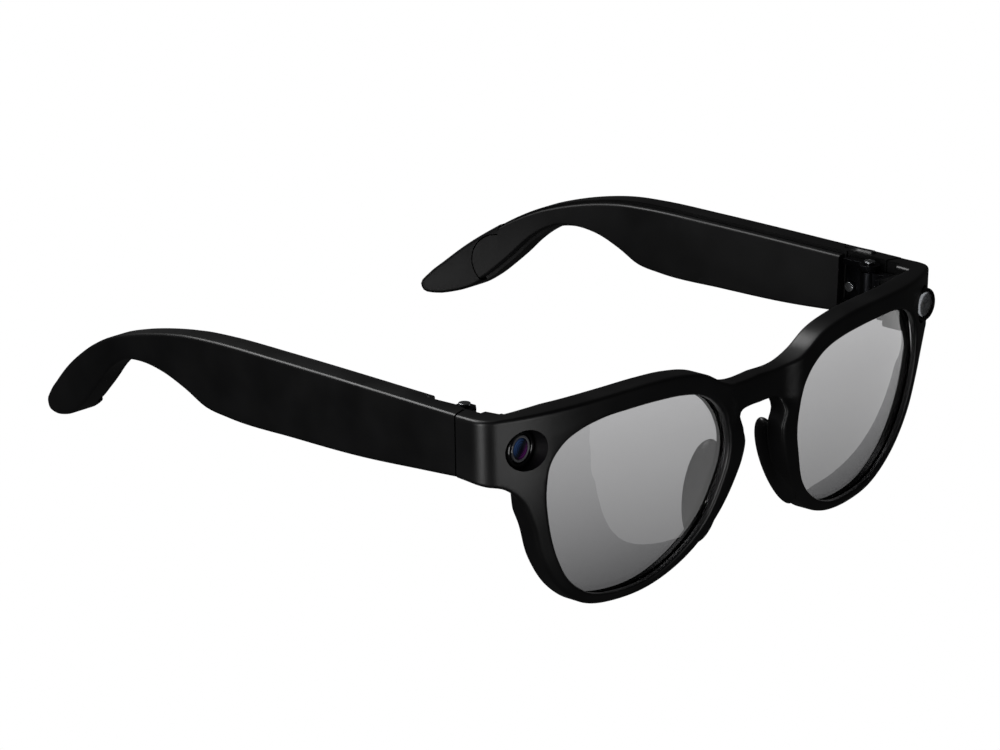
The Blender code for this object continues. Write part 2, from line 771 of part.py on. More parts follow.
def hinge(name, side, finishes, temple):
    pin_low, pin_high = KNUCKLE_LOW_Z - PIN_FOOT, KNUCKLE_HIGH_Z + GAP + LEAF_THICKNESS
    bore = rod((PIN_X, PIN_Y, 20), (PIN_X, PIN_Y, 60), PIN_RADIUS + GAP)
    bore_tool = node(f"pin_bore_{name}", on_side(bore, side), None)

    # The front leaf: a base against the boss, an arm and the long knuckle.
    base_front = RECESS_Y + GAP
    base_back = base_front + LEAF_THICKNESS
    low = (
        FRONT_SCREW[0] - LEAF_PAST_SCREW,
        base_front,
        FRONT_SCREW[1] - LEAF_PAST_SCREW,
    )
    base = box(low, (PIN_X + LEAF_PAST_PIN, base_back, KNUCKLE_HIGH_Z))
    leaf = node(f"hinge_front_leaf_{name}", on_side(base, side), finishes["steel"])
    arm_low = (PIN_X - ARM_HALF_WIDTH, base_back - ARM_OVERLAP, KNUCKLE_LOW_Z)
    arm = box(arm_low, (PIN_X + ARM_HALF_WIDTH, PIN_Y, KNUCKLE_HIGH_Z))
    knuckle = rod(
        (PIN_X, PIN_Y, KNUCKLE_LOW_Z), (PIN_X, PIN_Y, KNUCKLE_HIGH_Z), KNUCKLE_RADIUS
    )
    x, z = FRONT_SCREW
    hole = rod((x, base_front - 3, z), (x, base_back + 3, z), SCREW_RADIUS + GAP, 16)
    shapes = (("arm", arm), ("knuckle", knuckle), ("leaf_hole", hole))
    arm, knuckle, hole = (
        node(f"{label}_{name}", on_side(bm, side), None) for label, bm in shapes
    )
    cut(leaf, arm, knuckle, operation="UNION")
    cut(leaf, hole, bore_tool)
    start, tip = (x, base_back + GAP, z), (x, RECESS_Y - SCREW_GRIP, z)
    fixing = screw(start, tip, (0, 1, 0))
    node(f"hinge_front_screw_{name}", on_side(fixing, side), finishes["screw"])

    # The temple leaf: a web along the shell, with a knuckle plate above and one below.
    web_x = RECESS_X - GAP - LEAF_THICKNESS
    top = KNUCKLE_HIGH_Z + GAP + LEAF_THICKNESS
    bottom = KNUCKLE_LOW_Z - GAP - LEAF_THICKNESS
    web_y = PIN_Y + KNUCKLE_RADIUS + 2 * GAP
    web = box((web_x, web_y, bottom), (RECESS_X - GAP, LEAF_END_Y, top))
    temple_leaf = node(
        f"hinge_temple_leaf_{name}", on_side(web, side), finishes["steel"], temple
    )
    for label, low_z, high_z in (
        ("upper", KNUCKLE_HIGH_Z + GAP, top),
        ("lower", bottom, KNUCKLE_LOW_Z - GAP),
    ):
        eight = [
            (
                PIN_X + PLATE_RADIUS * math.cos(math.pi / 8 + math.pi / 4 * i),
                PIN_Y + PLATE_RADIUS * math.sin(math.pi / 8 + math.pi / 4 * i),
            )
            for i in range(8)
        ]
        tongue = [(PIN_X, PIN_Y), (PIN_X + PLATE_REACH, PIN_Y), (RECESS_X - GAP, web_y)]
        tongue += [(RECESS_X - GAP, LEAF_END_Y), (web_x - TONGUE_INSET, LEAF_END_Y), (PIN_X, web_y)]
        plates = (("plate", slab(eight, low_z, high_z)), ("tongue", slab(tongue, low_z, high_z)))
        tools = [
            node(f"{label}_{shape}_{name}", on_side(bm, side), None) for shape, bm in plates
        ]
        cut(temple_leaf, *tools, operation="UNION")
    y, z = TEMPLE_SCREW
    hole = rod((web_x - 3, y, z), (RECESS_X + SCREW_GRIP, y, z), SCREW_RADIUS + GAP, 16)
    hole = node(f"temple_screw_hole_{name}", on_side(hole, side), None)
    cut(temple_leaf, bore_tool, hole)
    start, tip = (web_x - GAP, y, z), (RECESS_X + SCREW_GRIP - GAP, y, z)
    fixing = screw(start, tip, (-1, 0, 0))
    node(f"hinge_temple_screw_{name}", on_side(fixing, side), finishes["screw"], temple)

    pin = turned(
        (
            (0, pin_low),
            (PIN_RADIUS, pin_low),
            (PIN_RADIUS, pin_high + GAP),
            (PIN_HEAD_RADIUS, pin_high + GAP),
            (PIN_HEAD_RADIUS, pin_high + GAP + PIN_HEAD_THICKNESS),
            (0, pin_high + GAP + PIN_HEAD_THICKNESS),
        ),
        (PIN_X, PIN_Y, 0),
        (0, 0, 1),
    )
    node(f"hinge_pin_{name}", on_side(pin, side), finishes["pin"])
    return hole


# ---------------------------------------------------------------- temples


def temple_outline(inset):
    shift = TIP_END_Y - DRAWN_TIP_END_Y
    points = [(y + (shift if y > HOOK_FROM_Y else 0.0), z) for y, z, _ in TEMPLE_OUTLINE]
    corners = [point[2] for point in TEMPLE_OUTLINE]
    counts = counts_for(points, 2 * STEP)
    return offset_loop(smooth_loop(points, corners, counts), -inset)


def temple_slab(outline, low, high, rounding):
    """The outline as a slab between two depths, with rounded rims where asked."""
    rings = []
    for inset, depth in reversed(quarter(rounding)):
        rings.append([(low + depth, p.x, p.y) for p in offset_loop(outline, -inset)])
    for inset, depth in quarter(rounding):
        rings.append([(high - depth, p.x, p.y) for p in offset_loop(outline, -inset)])
    return loft(rings, closed=False)


def cover_zone(margin, start, low, high):
    """The region of a cover: everything from its start to its round end, over all heights."""
    radius = COVER_END_RADIUS + margin
    outline = [(start, 60), (start, 10), (COVER_END_Y, 10), (COVER_END_Y, COVER_END_Z - radius)]
    for step in range(1, 12):
        angle = math.pi * (step / 12 - 0.5)
        y = COVER_END_Y + radius * math.cos(angle)
        outline.append((y, COVER_END_Z + radius * math.sin(angle)))
    outline += [(COVER_END_Y, COVER_END_Z + radius), (COVER_END_Y, 60)]
    return slab(outline, low, high, axis="X")


def cavity():
    """The hollow that the electronics lie in, open towards the cover."""
    outline = temple_outline(SHELL_WALL)
    bm = loft([[(d, p.x, p.y) for p in outline] for d in (SHELL_WALL, SHELL_DEPTH + 5)], False)
    trim(bm, (0, CAVITY_START_Y, 0), (0, -1, 0))
    trim(bm, (0, CAVITY_END_Y, 0), (0, 1, 0))
    return bm


def baked(part):
    """The part's mesh in millimetres, with its modifiers applied; the part is removed."""
    graph = bpy.context.evaluated_depsgraph_get()
    mesh = bpy.data.meshes.new_from_object(part.evaluated_get(graph))
    bm = bmesh.new()
    bm.from_mesh(mesh)
    bmesh.ops.scale(bm, verts=bm.verts, vec=(1 / MM, 1 / MM, 1 / MM))
    bpy.data.meshes.remove(mesh)
    bpy.data.objects.remove(part, do_unlink=True)
    return bm


def bend_temple(bm):
    slice_at(bm, 1, [BOW_FROM_Y + step for step in range(0, 50, 5)])
    move_points(bm, on_temple)
    point, normal = seam(GAP / 2)
    trim(bm, point, -normal)
    return bm


def flat_shell():
    full = temple_slab(
        temple_outline(0.0), 0.0, SHELL_DEPTH + GAP + COVER_THICKNESS, ROUND
    )
    shell = node("flat_shell", full, None)
    zone = cover_zone(GAP, 5.0, SHELL_DEPTH, 20.0)
    tools = [node("flat_zone", zone, None), node("flat_cavity", cavity(), None)]
    cut(shell, *tools)
    bpy.context.view_layer.update()
    bm = baked(shell)
    for tool in tools:
        bpy.data.objects.remove(tool, do_unlink=True)
    return bm


def flat_cover():
    depth = SHELL_DEPTH + GAP
    cover = node(
        "flat_cover",
        temple_slab(temple_outline(COVER_INSET), depth, depth + COVER_THICKNESS, COVER_INSET),
        None,
    )
    zone = node("flat_zone", cover_zone(0.0, COVER_START_Y, 0.0, 20.0), None)
    cut(cover, zone, operation="INTERSECT")
    bpy.context.view_layer.update()
    bm = baked(cover)
    bpy.data.objects.remove(zone, do_unlink=True)
    return bm


def shell_tools(name, side):
    """What is cut from a bent shell: the hinge recess and the sound openings."""
    recess = box((50, 0, 20), (RECESS_X, COVER_START_Y - GAP, 60))
    shapes = [("hinge_recess", recess)]
    half_width, half_length = SLOT_SIZE[0] / 2, SLOT_SIZE[1] / 2
    for number in range(SPEAKER_SLOTS):
        y = SPEAKER_Y - SLOTS_AHEAD + (number - (SPEAKER_SLOTS - 1) / 2) * SLOT_PITCH
        x = outer_x(y, UNDERSIDE_Z) - SHELL_DEPTH / 2
        low = (x - half_width, y - half_length, 20)
        shapes.append((f"slot_{number}", box(low, (x + half_width, y + half_length, 33))))
    x = outer_x(MIC_Y, UNDERSIDE_Z) - SHELL_DEPTH / 2
    mic = rod((x, MIC_Y, 20), (x, MIC_Y, 33), MIC_HOLE_RADIUS, 12)
    shapes.append(("mic_hole", mic))
    return [node(f"{label}_{name}", on_side(bm, side), None) for label, bm in shapes]


def leaned(size, y, z, depth):
    """A block that lies against the leaning outer wall, its outer side at a depth."""
    thick, long, tall = size
    bm = box((-thick / 2, -long / 2, -tall / 2), (thick / 2, long / 2, tall / 2))
    turn = Matrix.Rotation(math.atan(LEAN), 3, "Y")
    bmesh.ops.rotate(bm, verts=bm.verts, matrix=turn, cent=(0, 0, 0))
    lean = math.atan(LEAN)
    x = outer_x(y, z) - (depth + thick / 2) / math.cos(lean)
    bmesh.ops.translate(bm, verts=bm.verts, vec=(x, y, z))
    return bm


def electronics(name, side, finishes, temple):
    rest = SHELL_WALL + GAP
    parts = {
        "circuit_board": leaned(BOARD_SIZE, BOARD_Y, PACK_Z, rest + CHIP_SIZE[0] + GAP),
        "sound_chip": leaned(CHIP_SIZE, BOARD_Y, PACK_Z, rest),
        "battery": leaned(BATTERY_SIZE, BATTERY_Y, PACK_Z, rest),
        "speaker": leaned(SPEAKER_SIZE, SPEAKER_Y, SPEAKER_Z, rest),
    }
    for label, bm in parts.items():
        node(f"{label}_{name}", on_side(bm, side), finishes[label], temple)


def temple_group(name, side, finishes):
    origin = (side * PIN_X, PIN_Y, 0)
    temple = empty(f"temple_{name}_pivot", origin, MIDDLE)
    shell = node(
        f"temple_shell_{name}", on_side(bend_temple(flat_shell()), side), finishes["shell"],
        temple, origin,
    )
    cover = node(
        f"temple_cover_{name}", on_side(bend_temple(flat_cover()), side), finishes["cover"],
        temple, origin,
    )
    hole = hinge(name, side, finishes, temple)
    cut(shell, *shell_tools(name, side), hole)
    electronics(name, side, finishes, temple)
    return shell, cover, temple


def microphone(name, side, finishes, temple):
    """A small can over the sound hole in the shell's underside."""
    x = outer_x(MIC_Y, UNDERSIDE_Z) - SHELL_DEPTH / 2
    base = UNDERSIDE_Z + SHELL_WALL + GAP
    can = rod((x, MIC_Y, base), (x, MIC_Y, base + MIC_LENGTH), MIC_RADIUS, 16)
    node(f"microphone_{name}", on_side(can, side), finishes["microphone"], temple)


def capture_button(side, finishes, shell, temple):
    """A long cap in a slot, kept in by its flange, over a switch."""
    centre = (BUTTON_X, BUTTON_Y)
    width, length = BUTTON_SIZE
    top = temple_top_z(BUTTON_Y)
    skin = top - BUTTON_SKIN
    wide = (width + 2 * FLANGE_MARGIN, length + 2 * FLANGE_MARGIN)
    rest = skin - GAP
    floor = rest - FLANGE_THICKNESS - BUTTON_TRAVEL - GAP
    slot_size = (width + 2 * GAP, length + 2 * GAP)
    chamber_size = (wide[0] + 2 * GAP, wide[1] + 2 * GAP)
    switch_top = rest - FLANGE_THICKNESS - BUTTON_TRAVEL - GAP / 2
    switch_low = switch_top - SWITCH_SIZE[2]
    well_low = (BUTTON_X - SWITCH_SIZE[0] / 2 - GAP, BUTTON_Y - SWITCH_SIZE[1] / 2 - GAP)
    well_high = (BUTTON_X + SWITCH_SIZE[0] / 2 + GAP, BUTTON_Y + SWITCH_SIZE[1] / 2 + GAP)
    tools = (
        ("slot", pill(centre, slot_size, skin - GAP, top + 5)),
        ("chamber", pill(centre, chamber_size, floor, skin)),
        ("well", box((*well_low, switch_low - GAP), (*well_high, floor + 0.1))),
    )
    tools = [node(f"button_{label}", on_side(bm, side), None) for label, bm in tools]
    cut(shell, *tools)
    origin = (side * BUTTON_X, BUTTON_Y, top)
    cap = pill(centre, BUTTON_SIZE, rest - FLANGE_THICKNESS / 2, top + BUTTON_PROUD)
    cap = node("capture_button", on_side(cap, side), finishes["button"], temple, origin)
    flange = pill(centre, wide, rest - FLANGE_THICKNESS, rest)
    cut(cap, node("button_flange", on_side(flange, side), None), operation="UNION")
    half_x, half_y = SWITCH_SIZE[0] / 2, SWITCH_SIZE[1] / 2
    low = (BUTTON_X - half_x, BUTTON_Y - half_y, switch_low)
    high = (BUTTON_X + half_x, BUTTON_Y + half_y, switch_top)
    node("button_switch", on_side(box(low, high), side), finishes["switch"], temple)


def temple_top_z(y):
    """Height of the temple's top edge, between the outline's first points."""
    (start_y, start_z, _), (end_y, end_z, _) = TEMPLE_OUTLINE[:2]
    return start_z + (end_z - start_z) * (y - start_y) / (end_y - start_y)


def charging_port(side, finishes, cover, temple):
    """A row of contacts in the cover's face, with a magnet behind each end."""
    lean = math.atan(LEAN)
    inwards = Vector((-math.cos(lean), 0, math.sin(lean)))
    face_depth = (SHELL_DEPTH + GAP + COVER_THICKNESS) * math.cos(lean)
    middle = (CONTACT_COUNT - 1) / 2
    holes = []
    for number in range(CONTACT_COUNT):
        y = CONTACT_Y + (number - middle) * CONTACT_PITCH
        outer = Vector((outer_x(y, CONTACT_Z), y, CONTACT_Z))
        start = outer + inwards * (face_depth - COVER_THICKNESS)
        end = outer + inwards * (face_depth + CONTACT_PROUD)
        pin = rod(start, end, CONTACT_RADIUS, 16)
        node(f"charge_contact_{number + 1}", on_side(pin, side), finishes["contact"], temple)
        hole = rod(start - inwards * 2, end + inwards * 2, CONTACT_RADIUS + GAP, 16)
        holes.append(node(f"contact_hole_{number + 1}", on_side(hole, side), None))
    for number in (0, 1):
        y = CONTACT_Y + (number - 0.5) * MAGNET_PITCH
        outer = Vector((outer_x(y, CONTACT_Z), y, CONTACT_Z))
        end = outer + inwards * (face_depth - COVER_THICKNESS / 2)
        start = end - inwards * MAGNET_THICKNESS
        magnet = rod(start, end, MAGNET_RADIUS, 20)
        node(f"charge_magnet_{number + 1}", on_side(magnet, side), finishes["magnet"], temple)
        pocket = rod(start - inwards * 2, end + inwards * GAP, MAGNET_RADIUS + GAP, 20)
        holes.append(node(f"magnet_pocket_{number + 1}", on_side(pocket, side), None))
    cut(cover, *holes)


# ---------------------------------------------------------------- build

clear_scene()
PARTS = collection("smart_glasses")
CUTTERS = collection("cutters", hidden=True)
STEEL = material("blackened_steel", "2b2c2e", 0.38, 0.9)
BRIGHT = material("polished_steel", "c9ccd0", 0.22, 1.0)
SHELL = material("moulded_nylon_black", "0e0e0f", 0.46)
BOARD = material("board_green", "1d5a3c", 0.55)
FRONT_FINISHES = {
    "bezel": material("bezel_black", "101012", 0.25),
    "window": material("camera_glass", "141a2c", 0.06),
    "diffuser": material("diffuser_grey", "8f9296", 0.2),
    "barrel": material("barrel_black", "1a1a1d", 0.4, 0.5),
    "chip": material("phosphor_yellow", "d9b93a", 0.5),
    "board": BOARD,
}
HINGE_FINISHES = {"steel": STEEL, "screw": BRIGHT, "pin": BRIGHT}
TEMPLE_FINISHES = {
    "shell": SHELL,
    "cover": material("cover_black", "121213", 0.5),
    "circuit_board": BOARD,
    "sound_chip": material("chip_black", "202124", 0.4),
    "battery": material("foil_silver", "a9adb2", 0.35, 0.6),
    "speaker": material("speaker_grey", "3c3e42", 0.45, 0.3),
    "microphone": material("mic_can", "b8b4a8", 0.3, 1.0),
    "contact": material("gold_plate", "d6ab4a", 0.28, 1.0),
    "magnet": material("nickel", "b9bcc0", 0.25, 1.0),
    "button": material("button_black", "18181a", 0.42),
    "switch": material("switch_grey", "6d7076", 0.4),
    **HINGE_FINISHES,
}

MIDDLE = empty("middle", (0, -MID_Y, 0))
front_frame(SHELL)
lenses(material("tinted_lens", "6b6e72", 0.05, 0.0, 0.5))
camera(-1, FRONT_FINISHES)
light(1, FRONT_FINISHES)
for side_name, side_sign in SIDES:
    outer_shell, inner_cover, pivot = temple_group(side_name, side_sign, TEMPLE_FINISHES)
    microphone(side_name, side_sign, TEMPLE_FINISHES, pivot)
    if side_name == "left":
        capture_button(side_sign, TEMPLE_FINISHES, outer_shell, pivot)
    else:
        charging_port(side_sign, TEMPLE_FINISHES, inner_cover, pivot)
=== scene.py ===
"""Camera glasses in a plain white studio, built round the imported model.

The front moulding, lenses, temple shells and covers are made again with fine outlines; small
metal and electronic pieces are bevelled copies of their solids. Shapes are worked out in
millimetres in the model's own axes, with Y = 0 at the front, and put in place in metres.
"""

import json
import math

import bmesh
import bpy
from mathutils import Matrix, Vector


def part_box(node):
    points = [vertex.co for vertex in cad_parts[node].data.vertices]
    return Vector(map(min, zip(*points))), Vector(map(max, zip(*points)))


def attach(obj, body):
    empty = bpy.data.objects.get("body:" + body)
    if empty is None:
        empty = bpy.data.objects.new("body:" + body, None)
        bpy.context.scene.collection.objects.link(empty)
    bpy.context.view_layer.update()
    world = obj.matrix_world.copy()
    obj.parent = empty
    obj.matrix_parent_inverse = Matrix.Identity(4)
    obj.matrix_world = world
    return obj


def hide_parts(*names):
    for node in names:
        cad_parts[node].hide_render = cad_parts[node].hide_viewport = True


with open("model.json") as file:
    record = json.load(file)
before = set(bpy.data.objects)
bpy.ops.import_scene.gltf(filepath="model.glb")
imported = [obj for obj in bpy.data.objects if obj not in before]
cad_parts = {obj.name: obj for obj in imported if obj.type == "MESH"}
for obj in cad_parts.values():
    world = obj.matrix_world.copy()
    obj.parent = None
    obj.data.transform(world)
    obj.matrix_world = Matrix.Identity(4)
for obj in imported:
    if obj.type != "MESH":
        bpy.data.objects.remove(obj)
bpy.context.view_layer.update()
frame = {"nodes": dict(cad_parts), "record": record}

MM = 0.001
GAP = 0.3
FINE = 0.9  # spacing of points along an outline
MERGE = 0.002
ROUND = 0.8
ARC_PARTS = 5  # faces round a moulded edge

# The front's plan: a gentle wrap, a corner, then the side that meets the temple.
WRAP_2 = 2.66e-4
WRAP_4 = 3.683e-7
TURN_X = 70.0
TURN_RADIUS = 5.0
INNER_CORNER = (65.7, 12.5)
INNER_SIDE_STEP = (0.2, 1.35)  # of the inner side, for each mm along the face
CORNER_BLEND_Z = (24.0, 31.5)  # heights from the straight back to the inner corner
STRAIGHT_BACK_X = 58.0
SEAM_Y = 18.7
SEAM_SLANT = 0.27
BAR_DEPTH = 5.7
RIM_DEPTH = 4.5
BRIDGE_SET_BACK = 1.5
BRIDGE_EDGE_X = (7.0, 12.5)  # over which the set-back ends, away from the middle
BRIDGE_UNDER_Z = (29.0, 32.0)  # over which it begins, upwards
BRIDGE_FINE_X = (1.0, 13.0)
SLIM_TO_BAR_Z = (28.0, 36.0)  # heights over which the rim grows into the bar
TILT = 0.005
TILT_FROM_Z = 33.0
LEAN = 0.03
LEAN_FROM_Z = 43.0
LEAN_GROWS_X = (60.0, 74.0)  # along the face, from no lean to all of it
END_LOW_Z = 31.2
CORNER_FINE_X = (60.0, 77.0)

# Lens opening and outer outline of the left half, in matching pairs.
# The third value is True where the outer outline has a sharp corner.
HALF_FRONT = (
    ((11.5, 26.5), (6.1, 26.3), False),
    ((11.8, 28.8), (7.0, 29.2), False),
    ((12.2, 30.6), (6.7, 31.1), False),
    ((12.6, 31.8), (5.4, 32.2), False),
    ((12.9, 32.6), (4.0, 32.4), False),
    ((14.2, 34.6), (-2.0, 32.4), True),
    ((15.6, 36.1), (-2.0, 38.5), True),
    ((17.0, 37.2), (9.0, 38.7), False),
    ((19.0, 38.4), (13.5, 40.2), False),
    ((22.0, 39.5), (19.0, 43.0), False),
    ((26.0, 40.3), (27.0, 44.7), False),
    ((33.0, 40.9), (35.0, 45.2), False),
    ((41.0, 41.0), (45.0, 45.1), False),
    ((48.0, 40.6), (55.0, 44.7), False),
    ((53.5, 39.2), (64.0, 44.3), False),
    ((56.2, 37.8), (72.0, 44.0), False),
    ((57.9, 36.2), (84.0, 44.0), True),
    ((58.9, 34.9), (84.0, 31.7), True),
    ((59.5, 33.8), (73.0, 30.7), False),
    ((59.8, 33.0), (69.6, 30.2), False),
    ((60.3, 29.5), (65.6, 27.0), False),
    ((59.4, 22.0), (63.2, 22.4), False),
    ((56.8, 14.5), (60.1, 14.2), False),
    ((52.5, 8.0), (54.7, 6.7), False),
    ((46.0, 3.6), (47.5, 1.7), False),
    ((38.0, 2.1), (38.0, 0.0), False),
    ((30.0, 2.6), (28.5, 0.7), False),
    ((22.5, 5.8), (20.0, 4.1), False),
    ((16.5, 11.2), (12.6, 10.8), False),
    ((12.9, 19.0), (8.2, 18.5), False),
    ((11.7, 23.0), (6.5, 23.0), False),
)
PAD_CENTRE = (12.3, 6.8, 15.8)
PAD_HALF_SIZE = (2.6, 4.3, 10.6)
PAD_FLARE = 16.0
PAD_SPLAY = 21.0
LENS_DEPTH = 1.9
LENS_THICKNESS = 1.6
LENS_HOLD = 0.7

# Camera and light
EYE_X = 64.6
EYE_Z = 37.4
EYE_SEAT_Y = 10.2
SCOOP_RADIUS = 4.1
WELL_RADIUS = 2.8
WELL_END_Y = 14.0
BOSS_LOW = (60.6, 9.6, 32.0)
BOSS_HIGH = (68.0, 17.0, 42.0)
CHIP_HALF = 0.8
CHIP_FRONT_Y = 8.5
CHIP_BACK_Y = 12.7
GLASS_RADIUS = 2.1
GLASS_PAINTED_RINGS = (  # share of the radius, brightness of the painted reflection rings
    (0.1, 0.2),
    (0.2, 0.7),
    (0.27, 0.25),
    (0.38, 0.9),
    (0.44, 0.35),
    (0.6, 1.0),
    (0.66, 0.45),
    (0.8, 1.0),
    (0.9, 0.5),
)
GLASS_EDGE = 1.02
LENS_LOW = "545455"
LENS_HIGH = "a6a6a7"
LENS_FADE_Z = (2.0, 41.0)

# Hinge
FRONT_SCREW = (62.3, 34.6)
SCREW_HOLE_RADIUS = 0.9
SCREW_HOLE_DEPTH = 2.9
RECESS_X = 68.3
RECESS_Y = 16.0

# Far enough past a piece for a cut to go right through it
CUT_IN_X = 50.0
CUT_LOW_Z = 20.0
CUT_HIGH_Z = 60.0

# Temple outline in (Y, Z), from the seam along the top to the tip and back underneath.
TEMPLE_X = 72.6
BOW_FROM_Y = 95.0
BOW_IN = 0.0037
SHELL_DEPTH = 5.0
SHELL_WALL = 1.3
CAVITY_START_Y = 33.0
CAVITY_END_Y = 104.0
COVER_THICKNESS = 2.1
COVER_INSET = 0.6
COVER_START_Y = 30.4
COVER_END_Y = 125.5
COVER_END_Z = 25.5
COVER_END_RADIUS = 6.3
TEMPLE_OUTLINE = (
    (12.0, 43.9, True),
    (36.0, 44.5, False),
    (52.0, 44.9, False),
    (68.0, 45.2, False),
    (84.0, 45.3, False),
    (92.0, 44.9, False),
    (100.0, 43.7, False),
    (108.5, 41.7, False),
    (115.8, 39.3, False),
    (122.0, 36.3, False),
    (128.0, 32.6, False),
    (134.0, 28.3, False),
    (139.0, 24.0, False),
    (142.9, 20.4, False),
    (144.7, 17.8, False),
    (144.0, 16.2, False),
    (141.0, 15.8, False),
    (137.0, 16.6, False),
    (132.5, 18.3, False),
    (128.6, 20.9, False),
    (125.3, 23.8, False),
    (121.8, 27.1, False),
    (118.2, 30.8, False),
    (114.8, 33.5, False),
    (110.5, 35.7, False),
    (105.0, 36.4, False),
    (98.5, 35.6, False),
    (92.3, 33.4, False),
    (86.5, 30.7, False),
    (80.0, 29.8, False),
    (62.0, 29.6, False),
    (44.0, 29.8, False),
    (28.0, 30.8, False),
    (12.0, 31.9, True),
)
BUTTON_X = 70.4
BUTTON_Y = 28.4
BUTTON_SIZE = (1.3, 7.6)
BUTTON_TOP_Z = 44.31
BUTTON_PROUD = 0.35
BUTTON_SKIN = 1.2
FLANGE_MARGIN = 0.35
FLANGE_THICKNESS = 0.5
CONTACT_RADIUS = 0.8
SOUND_Y = 83.5  # middle of the sound openings in the underside
SOUND_STEP = 3.0
SOUND_HALF = (0.7, 0.6)
MICROPHONE_Y = 35.2
MICROPHONE_RADIUS = 0.5
OPENING_X_Z = 30.0  # height at which the openings follow the wall
OPENING_END_Z = 33.0
PAST_TIP_Y = 145.0
MID_Y = 72.4
SIDES = (("left", 1), ("right", -1))
DRIFT_MM = 12  # size of the slow changes in tone and gloss over a moulding
RELIEF_MM = 0.02
PATTERN_SPAN = (0.3, 0.7)  # part of a noise pattern's range that its values really fill


# ---------------------------------------------------------------- shapes, in millimetres


def smooth_span(before, start, end, after, sharp_start, sharp_end, count):
    """Points from start up to, but not at, end, on a smooth curve through all four."""
    chord = (end - start).length

    def tangent(left, middle, right):
        near, far = (middle - left).length, (right - middle).length
        blend = (middle - left) / near * far + (right - middle) / far * near
        return blend / (near + far) * chord

    leave = end - start if sharp_start else tangent(before, start, end)
    arrive = end - start if sharp_end else tangent(start, end, after)
    points = []
    for step in range(count):
        t = step / count
        points.append(
            start * (2 * t**3 - 3 * t**2 + 1)
            + leave * (t**3 - 2 * t**2 + t)
            + end * (3 * t**2 - 2 * t**3)
            + arrive * (t**3 - t**2)
        )
    return points


def smooth_loop(points, corners, counts):
    vectors = [Vector(point) for point in points]
    total = len(vectors)
    loop = []
    for i in range(total):
        around = [vectors[(i + shift) % total] for shift in (-1, 0, 1, 2)]
        loop += smooth_span(*around, corners[i], corners[(i + 1) % total], counts[i])
    return loop


def counts_for(points, spacing):
    lengths = [math.dist(a, b) for a, b in zip(points, points[1:] + points[:1])]
    return [max(2, round(length / spacing)) for length in lengths]


def offset_loop(loop, distance):
    """The loop moved sideways; a positive distance moves a clockwise loop outwards."""
    moved = []
    total = len(loop)
    for i, point in enumerate(loop):
        before = (point - loop[i - 1]).normalized()
        after = (loop[(i + 1) % total] - point).normalized()
        normal = Vector((-before.y - after.y, before.x + after.x)).normalized()
        spread = max(0.5, normal.dot(Vector((-before.y, before.x))))
        moved.append(point + normal * distance / spread)
    return moved


def loft(rings, closed):
    """Quads between rings of equal length; an open loft is capped by its first and last ring."""
    bm = bmesh.new()
    rows = [[bm.verts.new(point) for point in ring] for ring in rings]
    total = len(rows[0])
    for low, high in zip(rows, rows[1:] + rows[:1] if closed else rows[1:]):
        for i in range(total):
            j = (i + 1) % total
            bm.faces.new((low[i], low[j], high[j], high[i]))
    if not closed:
        bm.faces.new(rows[0])
        bm.faces.new(reversed(rows[-1]))
    return bm


def slice_at(bm, axis, places):
    normal = Vector([1.0 if i == axis else 0.0 for i in range(3)])
    for place in places:
        geometry = bm.verts[:] + bm.edges[:] + bm.faces[:]
        bmesh.ops.bisect_plane(bm, geom=geometry, plane_co=normal * place, plane_no=normal)
    bmesh.ops.remove_doubles(bm, verts=bm.verts, dist=MERGE)


def trim(bm, point, normal):
    """Takes away what lies past a plane, and closes the cut."""
    geometry = bm.verts[:] + bm.edges[:] + bm.faces[:]
    bmesh.ops.bisect_plane(
        bm, geom=geometry, plane_co=point, plane_no=normal, clear_outer=True
    )
    bmesh.ops.remove_doubles(bm, verts=bm.verts, dist=MERGE)
    point, normal = Vector(point), Vector(normal).normalized()
    rim = [
        edge
        for edge in bm.edges
        if edge.is_boundary and all(abs((v.co - point).dot(normal)) < MERGE for v in edge.verts)
    ]
    bmesh.ops.holes_fill(bm, edges=rim, sides=0)


def steps(start, end, spacing):
    count = max(1, round((end - start) / spacing))
    return [start + (end - start) * i / count for i in range(count + 1)]


def ease(low, high, value):
    t = min(1.0, max(0.0, (value - low) / (high - low)))
    return t * t * (3 - 2 * t)


def quarter(radius):
    """(inset, depth) pairs round a convex edge, from the wall to the face."""
    angles = [math.pi / 2 * i / ARC_PARTS for i in range(ARC_PARTS + 1)]
    return [(radius * (1 - math.cos(a)), radius * (1 - math.sin(a))) for a in angles]


def face_y(x):
    return WRAP_2 * x**2 + WRAP_4 * x**4


def face_line(s):
    """The face in plan, for a distance s along it from the middle."""
    if s <= TURN_X:
        return Vector((s, face_y(s)))
    slope = math.atan(2 * WRAP_2 * TURN_X + 4 * WRAP_4 * TURN_X**3)
    past = s - TURN_X
    turn = min(past / TURN_RADIUS, math.pi / 2 - slope)
    centre = Vector(
        (
            TURN_X - TURN_RADIUS * math.sin(slope),
            face_y(TURN_X) + TURN_RADIUS * math.cos(slope),
        )
    )
    angle = slope + turn
    point = centre + TURN_RADIUS * Vector((math.sin(angle), -math.cos(angle)))
    return point + Vector((0, past - turn * TURN_RADIUS))


